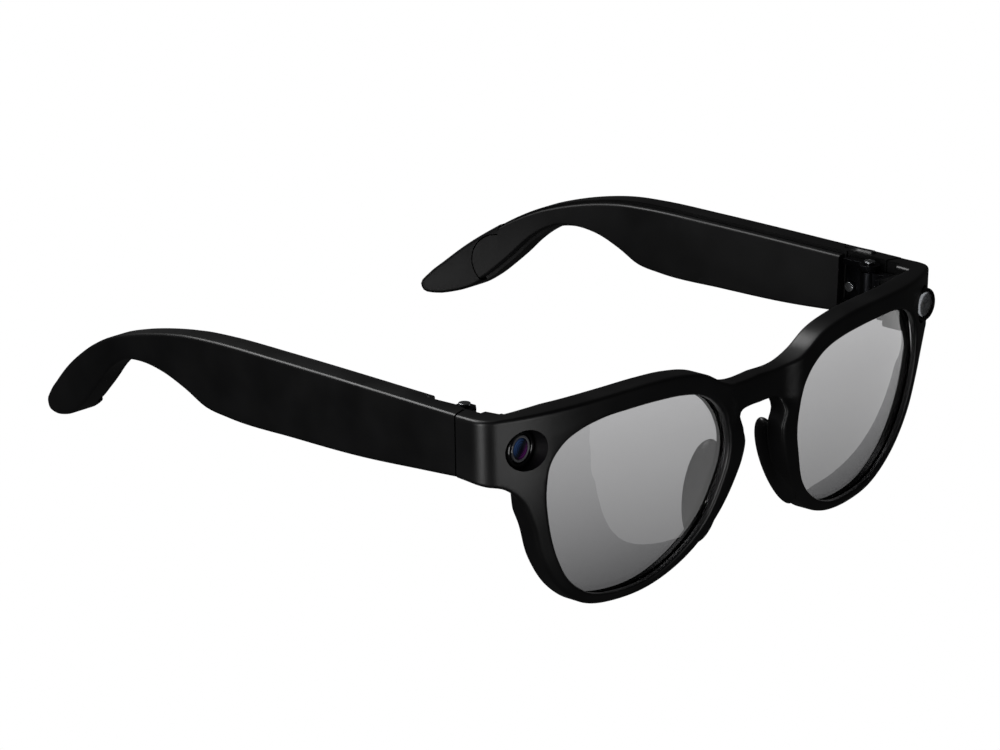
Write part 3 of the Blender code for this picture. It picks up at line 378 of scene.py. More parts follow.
def back_line(s, z):
    """The inner surface in plan: a bar, an inner corner and the inner side of the end piece.

    Below the end piece it stays straight behind the face.
    """
    behind = Vector((s, face_y(s) + BAR_DEPTH))
    bar_end = Vector((STRAIGHT_BACK_X, face_y(STRAIGHT_BACK_X) + BAR_DEPTH))
    corner = Vector(INNER_CORNER)
    middle_of_turn = TURN_X + TURN_RADIUS / 2
    if s <= STRAIGHT_BACK_X:
        return behind
    if s <= middle_of_turn:
        share = (s - STRAIGHT_BACK_X) / (middle_of_turn - STRAIGHT_BACK_X)
        return behind.lerp(bar_end.lerp(corner, share), ease(*CORNER_BLEND_Z, z))
    return corner + Vector(INNER_SIDE_STEP) * (s - middle_of_turn)


def on_front(s, depth, z):
    """From the flat pattern (s, depth, z) to the curved front."""
    face, back = face_line(s), back_line(s, z)
    slim = RIM_DEPTH / BAR_DEPTH
    share = depth / BAR_DEPTH * (slim + (1 - slim) * ease(*SLIM_TO_BAR_Z, z))
    point = face.lerp(back, share)
    set_back = BRIDGE_SET_BACK * (1 - ease(*BRIDGE_EDGE_X, s)) * ease(*BRIDGE_UNDER_Z, z)
    y = point.y + TILT * max(0.0, TILT_FROM_Z - z) ** 2 + set_back * (1 - share)
    x = point.x - LEAN * (LEAN_FROM_Z - max(z, END_LOW_Z)) * ease(*LEAN_GROWS_X, s)
    return Vector((x, y, z))


def outer_x(y, z):
    return TEMPLE_X - BOW_IN * max(0.0, y - BOW_FROM_Y) ** 2 - LEAN * (LEAN_FROM_Z - z)


def on_temple(depth, y, z):
    return Vector((outer_x(y, z) - depth, y, z))


def seam(side_gap):
    """A point on the slanted seam plane and its normal, towards the tip."""
    normal = Vector((SEAM_SLANT, 1.0, 0.0)).normalized()
    return Vector((TEMPLE_X, SEAM_Y, 0)) + normal * side_gap, normal


def move_points(bm, rule):
    for vert in bm.verts:
        vert.co = rule(*vert.co)


# ---------------------------------------------------------------- finishes


def linear(value):
    value /= 255
    return value / 12.92 if value <= 0.04045 else ((value + 0.055) / 1.055) ** 2.4


def colour(text):
    return (*(linear(int(text[i : i + 2], 16)) for i in (0, 2, 4)), 1.0)


def add_node(tree, kind, values=None, links=None, **settings):
    made = tree.nodes.new(kind)
    for key, value in settings.items():
        setattr(made, key, value)
    for key, value in (values or {}).items():
        made.inputs[key].default_value = value
    for key, socket in (links or {}).items():
        tree.links.new(socket, made.inputs[key])
    return made


def finish(name, **sockets):
    """A new material, its node tree, its shader and a texture coordinate node."""
    made = bpy.data.materials.new(name)
    made.use_nodes = True
    tree = made.node_tree
    shader = tree.nodes["Principled BSDF"]
    for key, value in sockets.items():
        shader.inputs[key.replace("_", " ")].default_value = value
    return made, tree, shader, add_node(tree, "ShaderNodeTexCoord")


def tone_and_gloss(tree, shader, pattern, tones, roughness):
    """Lets a pattern vary a surface between two colours and between two degrees of gloss."""
    tone = add_node(tree, "ShaderNodeValToRGB", links={"Fac": pattern})
    for element, place, text in zip(tone.color_ramp.elements, PATTERN_SPAN, tones):
        element.position = place
        element.color = colour(text)
    gloss = add_node(
        tree,
        "ShaderNodeMapRange",
        {
            "From Min": PATTERN_SPAN[0],
            "From Max": PATTERN_SPAN[1],
            "To Min": roughness[0],
            "To Max": roughness[1],
        },
        {"Value": pattern},
    )
    tree.links.new(tone.outputs["Color"], shader.inputs["Base Color"])
    tree.links.new(gloss.outputs["Result"], shader.inputs["Roughness"])


def moulded(name, dark, light, smooth, rough, grain_mm, relief, **sockets):
    """Injection-moulded plastic: a fine spark-eroded grain and slow drifts in tone and gloss."""
    made, tree, shader, place = finish(name, **sockets)
    grain = add_node(
        tree,
        "ShaderNodeTexNoise",
        {"Scale": 1 / (grain_mm * MM), "Detail": 3.0},
        {"Vector": place.outputs["Object"]},
    )
    bump = add_node(
        tree,
        "ShaderNodeBump",
        {"Strength": relief, "Distance": RELIEF_MM * MM},
        {"Height": grain.outputs["Fac"]},
    )
    drift = add_node(
        tree,
        "ShaderNodeTexNoise",
        {"Scale": 1 / (DRIFT_MM * MM), "Detail": 2.0},
        {"Vector": place.outputs["Object"]},
    )
    tone_and_gloss(tree, shader, drift.outputs["Fac"], (dark, light), (smooth, rough))
    tree.links.new(bump.outputs["Normal"], shader.inputs["Normal"])
    return made


def metal(name, dark, light, smooth, rough, grain_mm, stretch):
    """Plated or turned metal, with fine marks drawn out along one way by the stretch."""
    made, tree, shader, place = finish(name, Metallic=1.0)
    drawn = add_node(
        tree,
        "ShaderNodeMapping",
        {"Scale": stretch},
        {"Vector": place.outputs["Object"]},
    )
    marks = add_node(
        tree,
        "ShaderNodeTexNoise",
        {"Scale": 1 / (grain_mm * MM), "Detail": 4.0},
        {"Vector": drawn.outputs["Vector"]},
    )
    tone_and_gloss(tree, shader, marks.outputs["Fac"], (dark, light), (smooth, rough))
    return made


def tinted_lens():
    """Cast polycarbonate with a graduated grey tint: paler at the top, darker below."""
    made, tree, shader, place = finish(
        "tinted_polycarbonate", Transmission_Weight=1.0, Roughness=0.0, IOR=1.5
    )
    parts = add_node(
        tree, "ShaderNodeSeparateXYZ", links={"Vector": place.outputs["Object"]}
    )
    height = add_node(
        tree,
        "ShaderNodeMapRange",
        {"From Min": LENS_FADE_Z[0] * MM, "From Max": LENS_FADE_Z[1] * MM},
        {"Value": parts.outputs["Z"]},
    )
    tint = add_node(tree, "ShaderNodeValToRGB", links={"Fac": height.outputs["Result"]})
    tint.color_ramp.elements[0].color = colour(LENS_LOW)
    tint.color_ramp.elements[1].color = colour(LENS_HIGH)
    tree.links.new(tint.outputs["Color"], shader.inputs["Base Color"])
    return made


def camera_glass(side):
    """A stack of coated glass, its reflections painted: dark rings between bright ones, a blue
    painted reflection above and a violet one below.
    """
    made, tree, shader, place = finish(
        "coated_glass_painted_reflections", Roughness=0.08, Coat_Weight=1.0, Coat_Roughness=0.02
    )
    centred = add_node(
        tree,
        "ShaderNodeVectorMath",
        {1: (-side * EYE_X * MM, 0.0, -EYE_Z * MM)},
        {0: place.outputs["Object"]},
        operation="ADD",
    )
    across = add_node(
        tree,
        "ShaderNodeVectorMath",
        {1: (1.0 / (GLASS_RADIUS * MM), 0.0, 1.0 / (GLASS_RADIUS * MM))},
        {0: centred.outputs["Vector"]},
        operation="MULTIPLY",
    )
    radius = add_node(
        tree,
        "ShaderNodeVectorMath",
        links={0: across.outputs["Vector"]},
        operation="LENGTH",
    )
    # Rings of brightness painted in as reflections from the glass stack
    rings = add_node(tree, "ShaderNodeValToRGB", links={"Fac": radius.outputs["Value"]})
    rings.color_ramp.interpolation = "EASE"
    bands = rings.color_ramp.elements
    bands[0].position, bands[0].color = 0.0, (1.0, 1.0, 1.0, 1.0)
    bands[1].position, bands[1].color = 1.0, (0.3, 0.3, 0.3, 1.0)
    for where, value in GLASS_PAINTED_RINGS:
        bands.new(where).color = (value, value, value, 1.0)
    # Coating colours painted in as reflections: blue above, violet below
    flare = add_node(
        tree,
        "ShaderNodeVectorMath",
        {1: (0.75, 0.0, -0.66)},
        {0: across.outputs["Vector"]},
        operation="DOT_PRODUCT",
    )
    shift = add_node(
        tree,
        "ShaderNodeMapRange",
        {"From Min": -1.0, "From Max": 1.0},
        {"Value": flare.outputs["Value"]},
    )
    hue = add_node(tree, "ShaderNodeValToRGB", links={"Fac": shift.outputs["Result"]})
    hues = hue.color_ramp.elements
    hues[0].position, hues[0].color = 0.08, colour("4c74b8")
    hues[1].position, hues[1].color = 0.95, colour("8a2f96")
    for where, text in ((0.32, "2c4a80"), (0.5, "141d2c"), (0.66, "2a1c3a")):
        hues.new(where).color = colour(text)
    shaded = add_node(
        tree,
        "ShaderNodeVectorMath",
        links={0: hue.outputs["Color"], 1: rings.outputs["Color"]},
        operation="MULTIPLY",
    )
    beyond = add_node(
        tree,
        "ShaderNodeMath",
        {1: GLASS_EDGE},
        {0: radius.outputs["Value"]},
        operation="GREATER_THAN",
    )
    framed = add_node(
        tree,
        "ShaderNodeMix",
        links={"Factor": beyond.outputs["Value"]},
        data_type="RGBA",
    )
    tree.links.new(shaded.outputs["Vector"], framed.inputs[6])
    framed.inputs[7].default_value = colour("6a6b6f")
    tree.links.new(framed.outputs[2], shader.inputs["Base Color"])
    return made


# ---------------------------------------------------------------- modelling helpers


def only(piece):
    """Makes one object the only one selected, and the active one."""
    bpy.ops.object.select_all(action="DESELECT")
    piece.select_set(True)
    bpy.context.view_layer.objects.active = piece


def edit(piece, chosen=None):
    """Opens edit mode with the faces selected that a rule on their middle accepts, or all."""
    only(piece)
    for group in (piece.data.vertices, piece.data.edges, piece.data.polygons):
        group.foreach_set("select", [False] * len(group))
    for face in piece.data.polygons:
        where = face.center / MM + Vector((0, MID_Y, 0))
        face.select = chosen is None or bool(chosen(where))
    bpy.ops.object.mode_set(mode="EDIT")
    bpy.ops.mesh.select_mode(type="FACE")


def done():
    bpy.ops.object.mode_set(mode="OBJECT")


def at(x, y, z):
    """A place in the model's own millimetres, as metres in the scene."""
    return Vector((x, y - MID_Y, z)) * MM


def solid(bm, name):
    """A mesh made in millimetres, as an object in its place."""
    bmesh.ops.recalc_face_normals(bm, faces=bm.faces)
    bmesh.ops.translate(bm, verts=bm.verts, vec=(0, -MID_Y, 0))
    bmesh.ops.scale(bm, verts=bm.verts, vec=(MM, MM, MM))
    mesh = bpy.data.meshes.new(name)
    bm.to_mesh(mesh)
    bm.free()
    made = bpy.data.objects.new(name, mesh)
    bpy.context.scene.collection.objects.link(made)
    return made


def place_in_mesh(piece):
    only(piece)
    bpy.ops.object.transform_apply(location=True, rotation=True, scale=True)
    return piece


def block(low, high):
    middle = at(*[(a + b) / 2 for a, b in zip(low, high)])
    bpy.ops.object.select_all(action="DESELECT")
    bpy.ops.mesh.primitive_cube_add(size=1.0, location=middle)
    made = bpy.context.object
    made.scale = Vector([b - a for a, b in zip(low, high)]) * MM
    return place_in_mesh(made)


def rod(start, end, radius, sides=64):
    start, end = at(*start), at(*end)
    bpy.ops.object.select_all(action="DESELECT")
    bpy.ops.mesh.primitive_cylinder_add(
        vertices=sides, radius=radius * MM, depth=(end - start).length
    )
    made = bpy.context.object
    made.rotation_euler = (end - start).to_track_quat("Z", "Y").to_euler()
    made.location = (start + end) / 2
    return place_in_mesh(made)


def pill(centre, size, low, high):
    """An upright block with round ends; size is (width in X, length in Y)."""
    radius, reach = size[0] / 2, (size[1] - size[0]) / 2
    x, y = centre
    made = block((x - radius, y - reach, low), (x + radius, y + reach, high))
    for end in (-1, 1):
        round_end = rod((x, y + end * reach, low), (x, y + end * reach, high), radius, 32)
        combine(made, round_end, "UNION")
    return made


def on_side(piece, side):
    """The piece itself for the left, or the piece turned into its mirror image for the right."""
    if side < 0:
        piece.data.transform(Matrix.Diagonal((-1, 1, 1, 1)))
        piece.data.flip_normals()
    return piece


def mirrored(piece, name):
    """The same piece on the other side of the middle, with its own mesh."""
    made = piece.copy()
    made.data = piece.data.copy()
    made.name = name
    bpy.context.scene.collection.objects.link(made)
    return on_side(made, -1)


def combine(piece, tool, operation="DIFFERENCE"):
    change = piece.modifiers.new("combine", "BOOLEAN")
    change.operation = operation
    change.solver = "EXACT"
    change.object = tool
    only(piece)
    bpy.ops.object.modifier_apply(modifier=change.name)
    bpy.data.objects.remove(tool, do_unlink=True)


def rounded(piece, width, segments=3, angle=40.0):
    change = piece.modifiers.new("rounded", "BEVEL")
    change.width = width * MM
    change.segments = segments
    change.limit_method = "ANGLE"
    change.angle_limit = math.radians(angle)
    only(piece)
    bpy.ops.object.modifier_apply(modifier=change.name)


def complete(piece, name, body, slot, surface, *nodes, angle=35.0):
    """Names a piece, gives it its finish and smooth shading, and sets what it rides on."""
    piece.name = name
    piece.data.name = name
    piece.data.materials.clear()
    piece.data.materials.append(surface)
    only(piece)
    bpy.ops.object.shade_smooth_by_angle(angle=math.radians(angle))
    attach(piece, body)
    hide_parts(*nodes)
    return piece


def refined(node, body, surface, width):
    """A copy of a solid with its triangles merged into faces and its edges rounded."""
    source = frame["nodes"][node]
    made = source.copy()
    made.data = source.data.copy()
    made.parent = None
    for key in list(made.keys()):
        if key.startswith("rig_"):
            del made[key]
    bpy.context.scene.collection.objects.link(made)
    edit(made)
    bpy.ops.mesh.remove_doubles(threshold=MERGE * MM)
    bpy.ops.mesh.dissolve_limited(angle_limit=math.radians(2.0))
    bpy.ops.mesh.normals_make_consistent(inside=False)
    done()
    rounded(made, width)
    return complete(made, f"{node}_piece", body, SLOTS[node], surface, node)


# ---------------------------------------------------------------- front


def flat(loop, depth):
    return [Vector((point.x, depth, point.y)) for point in loop]


def half_loops():
    """The lens opening and the outer outline, with points that match one to one."""
    lens = [pair[0] for pair in HALF_FRONT]
    rim = [pair[1] for pair in HALF_FRONT]
    corners = [pair[2] for pair in HALF_FRONT]
    counts = counts_for(rim, FINE)
    return smooth_loop(lens, [False] * len(lens), counts), smooth_loop(rim, corners, counts)


def lens_disc(grow, swell, shares):
    """A disc in the shape of the lens, larger round its edge by grow and thicker by swell."""
    lens = half_loops()[0]
    edge = offset_loop(lens, grow)
    middle = sum(edge, Vector((0, 0))) / len(edge)
    front, back = LENS_DEPTH - swell, LENS_DEPTH + LENS_THICKNESS + swell
    rings = [flat([middle.lerp(p, share) for p in edge], front) for share in shares]
    rings += [flat([middle.lerp(p, share) for p in edge], back) for share in reversed(shares)]
    bm = loft(rings, closed=False)
    if shares[0] == 0:
        bmesh.ops.remove_doubles(bm, verts=bm.verts, dist=MERGE)
    move_points(bm, on_front)
    return bm


def half_moulding():
    """The left half of the front: a loft of fine rings, bent to the wrap."""
    lens, rim = half_loops()
    edge = quarter(ROUND)
    across = [0.2, 0.4, 0.6, 0.8]
    down = [0.25, 0.5, 0.75]

    def wall(loop, sign):
        return [
            flat(loop, ROUND + (BAR_DEPTH - 2 * ROUND) * share)
            for share in (down if sign > 0 else reversed(down))
        ]

    def face(depth, shares):
        inner, outer = offset_loop(lens, ROUND), offset_loop(rim, -ROUND)
        return [
            flat([a.lerp(b, share) for a, b in zip(inner, outer)], depth) for share in shares
        ]

    rings = [flat(offset_loop(lens, inset), depth) for inset, depth in edge]
    rings += face(0.0, across)
    rings += [flat(offset_loop(rim, -inset), depth) for inset, depth in reversed(edge)]
    rings += wall(rim, 1)
    rings += [flat(offset_loop(rim, -inset), BAR_DEPTH - depth) for inset, depth in edge]
    rings += face(BAR_DEPTH, list(reversed(across)))
    rings += [
        flat(offset_loop(lens, inset), BAR_DEPTH - depth) for inset, depth in reversed(edge)
    ]
    rings += wall(lens, -1)
    bm = loft(rings, closed=True)
    trim(bm, (0, 0, 0), (-1, 0, 0))
    slice_at(bm, 0, steps(*BRIDGE_FINE_X, 1.0) + steps(*CORNER_FINE_X, 0.5))
    move_points(bm, on_front)
    point, normal = seam(-GAP / 2)
    trim(bm, point, normal)
    return solid(bm, "front_half")


def nose_pad():
    bpy.ops.object.select_all(action="DESELECT")
    bpy.ops.mesh.primitive_uv_sphere_add(segments=64, ring_count=40, radius=MM)
    made = bpy.context.object
    made.scale = PAD_HALF_SIZE
    place_in_mesh(made)
    turn = Matrix.Rotation(math.radians(-PAD_FLARE), 4, "Z")
    turn = turn @ Matrix.Rotation(math.radians(-PAD_SPLAY), 4, "Y")
    made.data.transform(Matrix.Translation(at(*PAD_CENTRE)) @ turn)
    return made


def front_moulding(surface):
    half = half_moulding()
    combine(half, block(BOSS_LOW, BOSS_HIGH), "UNION")
    combine(half, nose_pad(), "UNION")
    combine(half, solid(lens_disc(LENS_HOLD + GAP, GAP, (0.2, 0.5, 0.8, 1.0)), "groove"))
    scoop_end = (EYE_X, EYE_SEAT_Y + GAP, EYE_Z)
    combine(half, rod((EYE_X, -5, EYE_Z), scoop_end, SCOOP_RADIUS, 96))
    well_start = (EYE_X, EYE_SEAT_Y, EYE_Z)
    combine(half, rod(well_start, (EYE_X, WELL_END_Y, EYE_Z), WELL_RADIUS))
    combine(
        half,
        block((CUT_IN_X, RECESS_Y, CUT_LOW_Z), (RECESS_X, RECESS_Y + 20, CUT_HIGH_Z)),
    )
    x, z = FRONT_SCREW
    bottom = (x, RECESS_Y - SCREW_HOLE_DEPTH, z)
    combine(half, rod(bottom, (x, RECESS_Y + 9, z), SCREW_HOLE_RADIUS, 24))
    edit(half, lambda p: abs(p.x) < 0.01)
    bpy.ops.mesh.delete(type="FACE")
    done()
    other = mirrored(half, "front_other_half")
    bpy.ops.object.select_all(action="DESELECT")
    other.select_set(True)
    half.select_set(True)
    bpy.context.view_layer.objects.active = half
    bpy.ops.object.join()
    edit(half)
    bpy.ops.mesh.remove_doubles(threshold=MERGE * MM)
    bpy.ops.mesh.normals_make_consistent(inside=False)
    done()
    return complete(
        half, "front_moulding", "front", "moulded_nylon_black", surface, "front_frame"
    )


def lens_pieces(surface):
    shares = (0.0, 0.12, 0.28, 0.45, 0.62, 0.78, 0.9, 1.0)
    for name, side in SIDES:
        piece = on_side(solid(lens_disc(LENS_HOLD, 0.0, shares), "lens"), side)
        complete(
            piece, f"lens_{name}_cast", "front", "tinted_lens", surface, f"lens_{name}"
        )


# ---------------------------------------------------------------- camera and light


def turned_cup(x, z, profile, sides=96):
    """A disc facing -Y, drawn out and in through (radius, y) pairs and closed at the end."""
    radius, y = profile[0]
    bpy.ops.object.select_all(action="DESELECT")
    bpy.ops.mesh.primitive_circle_add(
        vertices=sides, radius=radius * MM, fill_type="NGON", location=at(x, y, z),
        rotation=(math.pi / 2, 0, 0),
    )
    piece = place_in_mesh(bpy.context.object)
    only(piece)
    bpy.ops.object.mode_set(mode="EDIT")
    bpy.ops.mesh.select_all(action="SELECT")
    for (last_radius, last_y), (radius, y) in zip(profile, profile[1:]):
        bpy.ops.mesh.extrude_region_move(
            TRANSFORM_OT_translate={"value": (0, (y - last_y) * MM, 0)}
        )
        ratio = radius / last_radius
        bpy.ops.transform.resize(value=(ratio, 1, ratio), center_override=at(x, y, z))
    bpy.ops.mesh.select_all(action="SELECT")
    bpy.ops.mesh.normals_make_consistent(inside=False)
    done()
    return piece


def camera_pieces(side, finishes):
    """A black ring sunk in the front, with the coated glass at the bottom of its cup."""
    x = side * EYE_X
    ring = (
        (3.55, 10.2),
        (3.6, 10.1),
        (3.6, 9.25),
        (3.52, 9.08),
        (3.36, 9.0),
        (3.15, 9.0),
        (3.0, 9.08),
        (2.92, 9.25),
        (2.9, 9.9),
        (2.75, 10.0),
    )
    piece = turned_cup(x, EYE_Z, ring)
    complete(piece, "camera_ring", "front", "bezel_black", finishes["bezel"], "camera_bezel")
    glass = (
        (2.5, 9.95),
        (2.62, 9.85),
        (2.65, 9.4),
        (2.6, 9.22),
        (2.48, 9.15),
        (2.3, 9.15),
        (2.2, 9.22),
        (2.12, 9.32),
        (2.0, 9.34),
        (1.5, 9.26),
        (0.8, 9.2),
        (0.2, 9.18),
    )
    piece = turned_cup(x, EYE_Z, glass)
    complete(
        piece, "camera_glass_stack", "front", "camera_glass", finishes["glass"],
        "camera_window",
    )


def light_pieces(side, finishes):
    """A ring that stands out of the front, a grey dome and the chip behind it."""
    x = side * EYE_X
    ring = (
        (3.55, 10.2),
        (3.6, 10.1),
        (3.6, 7.1),
        (3.52, 6.9),
        (3.36, 6.8),
        (3.15, 6.82),
        (3.0, 6.95),
        (2.92, 7.2),
        (2.9, 9.2),
        (2.75, 9.3),
    )
    piece = turned_cup(x, EYE_Z, ring)
    complete(piece, "light_ring", "front", "bezel_black", finishes["bezel"], "light_bezel")
    dome = (
        (2.6, 7.8),
        (2.68, 7.72),
        (2.7, 7.25),
        (2.6, 7.05),
        (2.3, 6.88),
        (1.8, 6.76),
        (1.0, 6.69),
        (0.2, 6.67),
    )
    piece = turned_cup(x, EYE_Z, dome)
    complete(piece, "light_dome", "front", "diffuser_grey", finishes["dome"], "light_window")
    chip = block(
        (x - CHIP_HALF, CHIP_FRONT_Y, EYE_Z - CHIP_HALF),
        (x + CHIP_HALF, CHIP_BACK_Y, EYE_Z + CHIP_HALF),
    )
    rounded(chip, 0.12)
    complete(
        chip, "light_chip_piece", "front", "phosphor_yellow", finishes["chip"], "light_chip"
    )


# ---------------------------------------------------------------- temples


def temple_outline(inset, spacing=1.2):
    points = [point[:2] for point in TEMPLE_OUTLINE]
    corners = [point[2] for point in TEMPLE_OUTLINE]
    return offset_loop(smooth_loop(points, corners, counts_for(points, spacing)), -inset)


def temple_slab(outline, low, high, rounding):
    rings = []
    for inset, depth in reversed(quarter(rounding)):
        rings.append([(low + depth, p.x, p.y) for p in offset_loop(outline, -inset)])
    for inset, depth in quarter(rounding):
        rings.append([(high - depth, p.x, p.y) for p in offset_loop(outline, -inset)])
    return loft(rings, closed=False)


def cover_zone(margin, start, low, high):
    """The region of a cover: everything from its start to its round end, over all heights."""
    radius = COVER_END_RADIUS + margin
    outline = [(start, 60), (start, 10), (COVER_END_Y, 10), (COVER_END_Y, COVER_END_Z - radius)]
    for step in range(1, 24):
        angle = math.pi * (step / 24 - 0.5)
        y = COVER_END_Y + radius * math.cos(angle)
        outline.append((y, COVER_END_Z + radius * math.sin(angle)))
    outline += [(COVER_END_Y, COVER_END_Z + radius), (COVER_END_Y, 60)]
    return loft([[(depth, y, z) for y, z in outline] for depth in (low, high)], closed=False)


def cavity():
    outline = temple_outline(SHELL_WALL, 4.0)
    ends = (SHELL_WALL, SHELL_DEPTH + 5)
    bm = loft([[(depth, p.x, p.y) for p in outline] for depth in ends], closed=False)
    trim(bm, (0, CAVITY_START_Y, 0), (0, -1, 0))
    trim(bm, (0, CAVITY_END_Y, 0), (0, 1, 0))
    return bm


def bent(piece):
    """Leans and bows a straight temple piece, and cuts it at the seam."""
    bm = bmesh.new()
    bm.from_mesh(piece.data)
    bpy.data.objects.remove(piece, do_unlink=True)
    bmesh.ops.scale(bm, verts=bm.verts, vec=(1 / MM, 1 / MM, 1 / MM))
    bmesh.ops.translate(bm, verts=bm.verts, vec=(0, MID_Y, 0))
    slice_at(bm, 1, steps(BOW_FROM_Y, PAST_TIP_Y, 1.5))
    move_points(bm, on_temple)
    point, normal = seam(GAP / 2)
    trim(bm, point, -normal)
    return solid(bm, "bent")


def shell(name, side, surface):
    depth = SHELL_DEPTH + GAP + COVER_THICKNESS
    piece = solid(temple_slab(temple_outline(0.0), 0.0, depth, ROUND), "shell")
    combine(piece, solid(cover_zone(GAP, 5.0, SHELL_DEPTH, 20.0), "zone"))
    combine(piece, solid(cavity(), "cavity"))
    piece = bent(piece)
    combine(piece, block((CUT_IN_X, 0, CUT_LOW_Z), (RECESS_X, COVER_START_Y - GAP, CUT_HIGH_Z)))
    for number in (-1, 0, 1):
        y = SOUND_Y + SOUND_STEP * number
        x = outer_x(y, OPENING_X_Z) - SHELL_DEPTH / 2
        width, length = SOUND_HALF
        low = (x - width, y - length, CUT_LOW_Z)
        combine(piece, block(low, (x + width, y + length, OPENING_END_Z)))
    y = MICROPHONE_Y
    x = outer_x(y, OPENING_X_Z) - SHELL_DEPTH / 2
    combine(piece, rod((x, y, CUT_LOW_Z), (x, y, OPENING_END_Z), MICROPHONE_RADIUS, 24))
    if name == "left":
        centre = (BUTTON_X, BUTTON_Y)
        size = tuple(length + 2 * GAP for length in BUTTON_SIZE)
        skin = BUTTON_TOP_Z - BUTTON_SKIN
        combine(piece, pill(centre, size, skin - GAP, BUTTON_TOP_Z + 5))
        size = tuple(length + 2 * FLANGE_MARGIN + 2 * GAP for length in BUTTON_SIZE)
        combine(piece, pill(centre, size, skin - 3 * GAP - FLANGE_THICKNESS, skin))
    on_side(piece, side)
    return complete(
        piece, f"temple_{name}_moulding", f"temple_{name}", "moulded_nylon_black", surface,
        f"temple_shell_{name}",
    )


def cover(name, side, surface):
    depth = SHELL_DEPTH + GAP
    outline = temple_outline(COVER_INSET)
    piece = solid(temple_slab(outline, depth, depth + COVER_THICKNESS, COVER_INSET), "cover")
    combine(piece, solid(cover_zone(0.0, COVER_START_Y, 0.0, 20.0), "zone"), "INTERSECT")
    piece = bent(piece)
    on_side(piece, side)
    if name == "right":
        for number in range(1, 5):
            low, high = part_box(f"charge_contact_{number}")
            middle = (low + high) / 2 / MM + Vector((0, MID_Y, 0))
            along = Vector((math.cos(math.atan(LEAN)), 0, math.sin(math.atan(LEAN)))) * 4
            combine(piece, rod(middle - along, middle + along, CONTACT_RADIUS + GAP, 32))
    return complete(
        piece, f"temple_{name}_cover", f"temple_{name}", "cover_black", surface,
        f"temple_cover_{name}",
    )


def button_cap(surface):
    rest = BUTTON_TOP_Z - BUTTON_SKIN - GAP
    low = rest - FLANGE_THICKNESS
    piece = pill((BUTTON_X, BUTTON_Y), BUTTON_SIZE, low + 0.1, BUTTON_TOP_Z + BUTTON_PROUD)
    rounded(piece, 0.2, 3, 60.0)
    size = tuple(length + 2 * FLANGE_MARGIN for length in BUTTON_SIZE)
    combine(piece, pill((BUTTON_X, BUTTON_Y), size, low, rest), "UNION")
    return complete(
        piece, "button_cap", "button", "button_black", surface, "capture_button"
    )


# ---------------------------------------------------------------- build

RECORD = frame["record"]
SLOTS = {part["node"]: part["material_slot"] for part in RECORD["subparts"]}
BODY_OF = {
    node: body for body, nodes in RECORD["behaviour"]["bodies"].items() for node in nodes
}

# Injection-moulded nylon: near black, satin, with soft highlights along its edges
FRONT_NYLON = moulded("moulded_nylon", "080809", "0f0f10", 0.34, 0.42, 0.35, 0.25)
# The same nylon from a rougher mould: a little greyer and duller
COVER_NYLON = moulded("moulded_cover", "0b0b0c", "121213", 0.42, 0.5, 0.35, 0.3)
# ABS cap, moulded: satin black, a touch paler than the shell
BUTTON_ABS = moulded("button_cap_abs", "0f0f10", "161617", 0.35, 0.45, 0.3, 0.25)
# Polished acrylic: black with tight, bright reflections
BEZEL_GLOSS = moulded("polished_acrylic_ring", "060607", "0b0b0c", 0.12, 0.2, 0.5, 0.05)
# Green solder mask over glass fibre: even and half glossy
BOARD = moulded("solder_mask", "164a31", "23694a", 0.3, 0.5, 0.6, 0.2)
# Moulded epoxy: dark grey and dull
CHIP = moulded("epoxy_package", "1b1c1f", "26272a", 0.4, 0.5, 0.2, 0.3)
# Aluminium laminate: pale grey with broad, soft highlights
FOIL = metal("laminated_foil", "9a9ea3", "b5b9be", 0.3, 0.45, 0.5, (1, 1, 1))
# Moulded polycarbonate: mid grey and dull
BOX_GREY = moulded("speaker_box", "34363a", "43454a", 0.4, 0.5, 0.3, 0.2)
# Moulded nylon: lighter grey and half glossy
SWITCH = moulded("switch_housing", "606368", "777a80", 0.35, 0.45, 0.3, 0.2)
# Silicone gel with phosphor over a lamp chip: warm yellow, seen through the dome, with a painted
# glow in place of the light the dome keeps from it
PHOSPHOR_PAINTED_GLOW = moulded(
    "phosphor_gel_painted_glow", "c9a82c", "e3cd5a", 0.4, 0.5, 0.2, 0.2,
    # The emission is a painted glow: the chip is not lit, and the glow stands in for light that
    # cannot reach it
    Emission_Color=colour("c9a82c"), Emission_Strength=0.35,
)
# Blackened steel: dark, with a low metallic shine
DARK_STEEL = metal("blackened_steel", "1a1a1c", "2d2e31", 0.32, 0.45, 0.2, (1, 1, 6))
# Turned and polished steel: bright, with fine marks round it
PIN_STEEL = metal("turned_steel", "b9bcc0", "e2e4e6", 0.16, 0.28, 0.15, (1, 1, 0.3))
# Tin-plated steel: warm, pale grey
CAN = metal("plated_can", "a8a498", "c6c2b6", 0.25, 0.35, 0.3, (1, 1, 1))
# Gold plating: yellow and bright
GOLD = metal("gold_plating", "c2963c", "e0bd66", 0.2, 0.32, 0.2, (1, 1, 1))
# Nickel plating: cool, pale and bright
NICKEL = metal("nickel_plating", "a9acb0", "c8cbcf", 0.2, 0.3, 0.3, (1, 1, 1))

front_moulding(FRONT_NYLON)
lens_pieces(tinted_lens())
camera_pieces(-1, {"bezel": BEZEL_GLOSS, "glass": camera_glass(-1)})
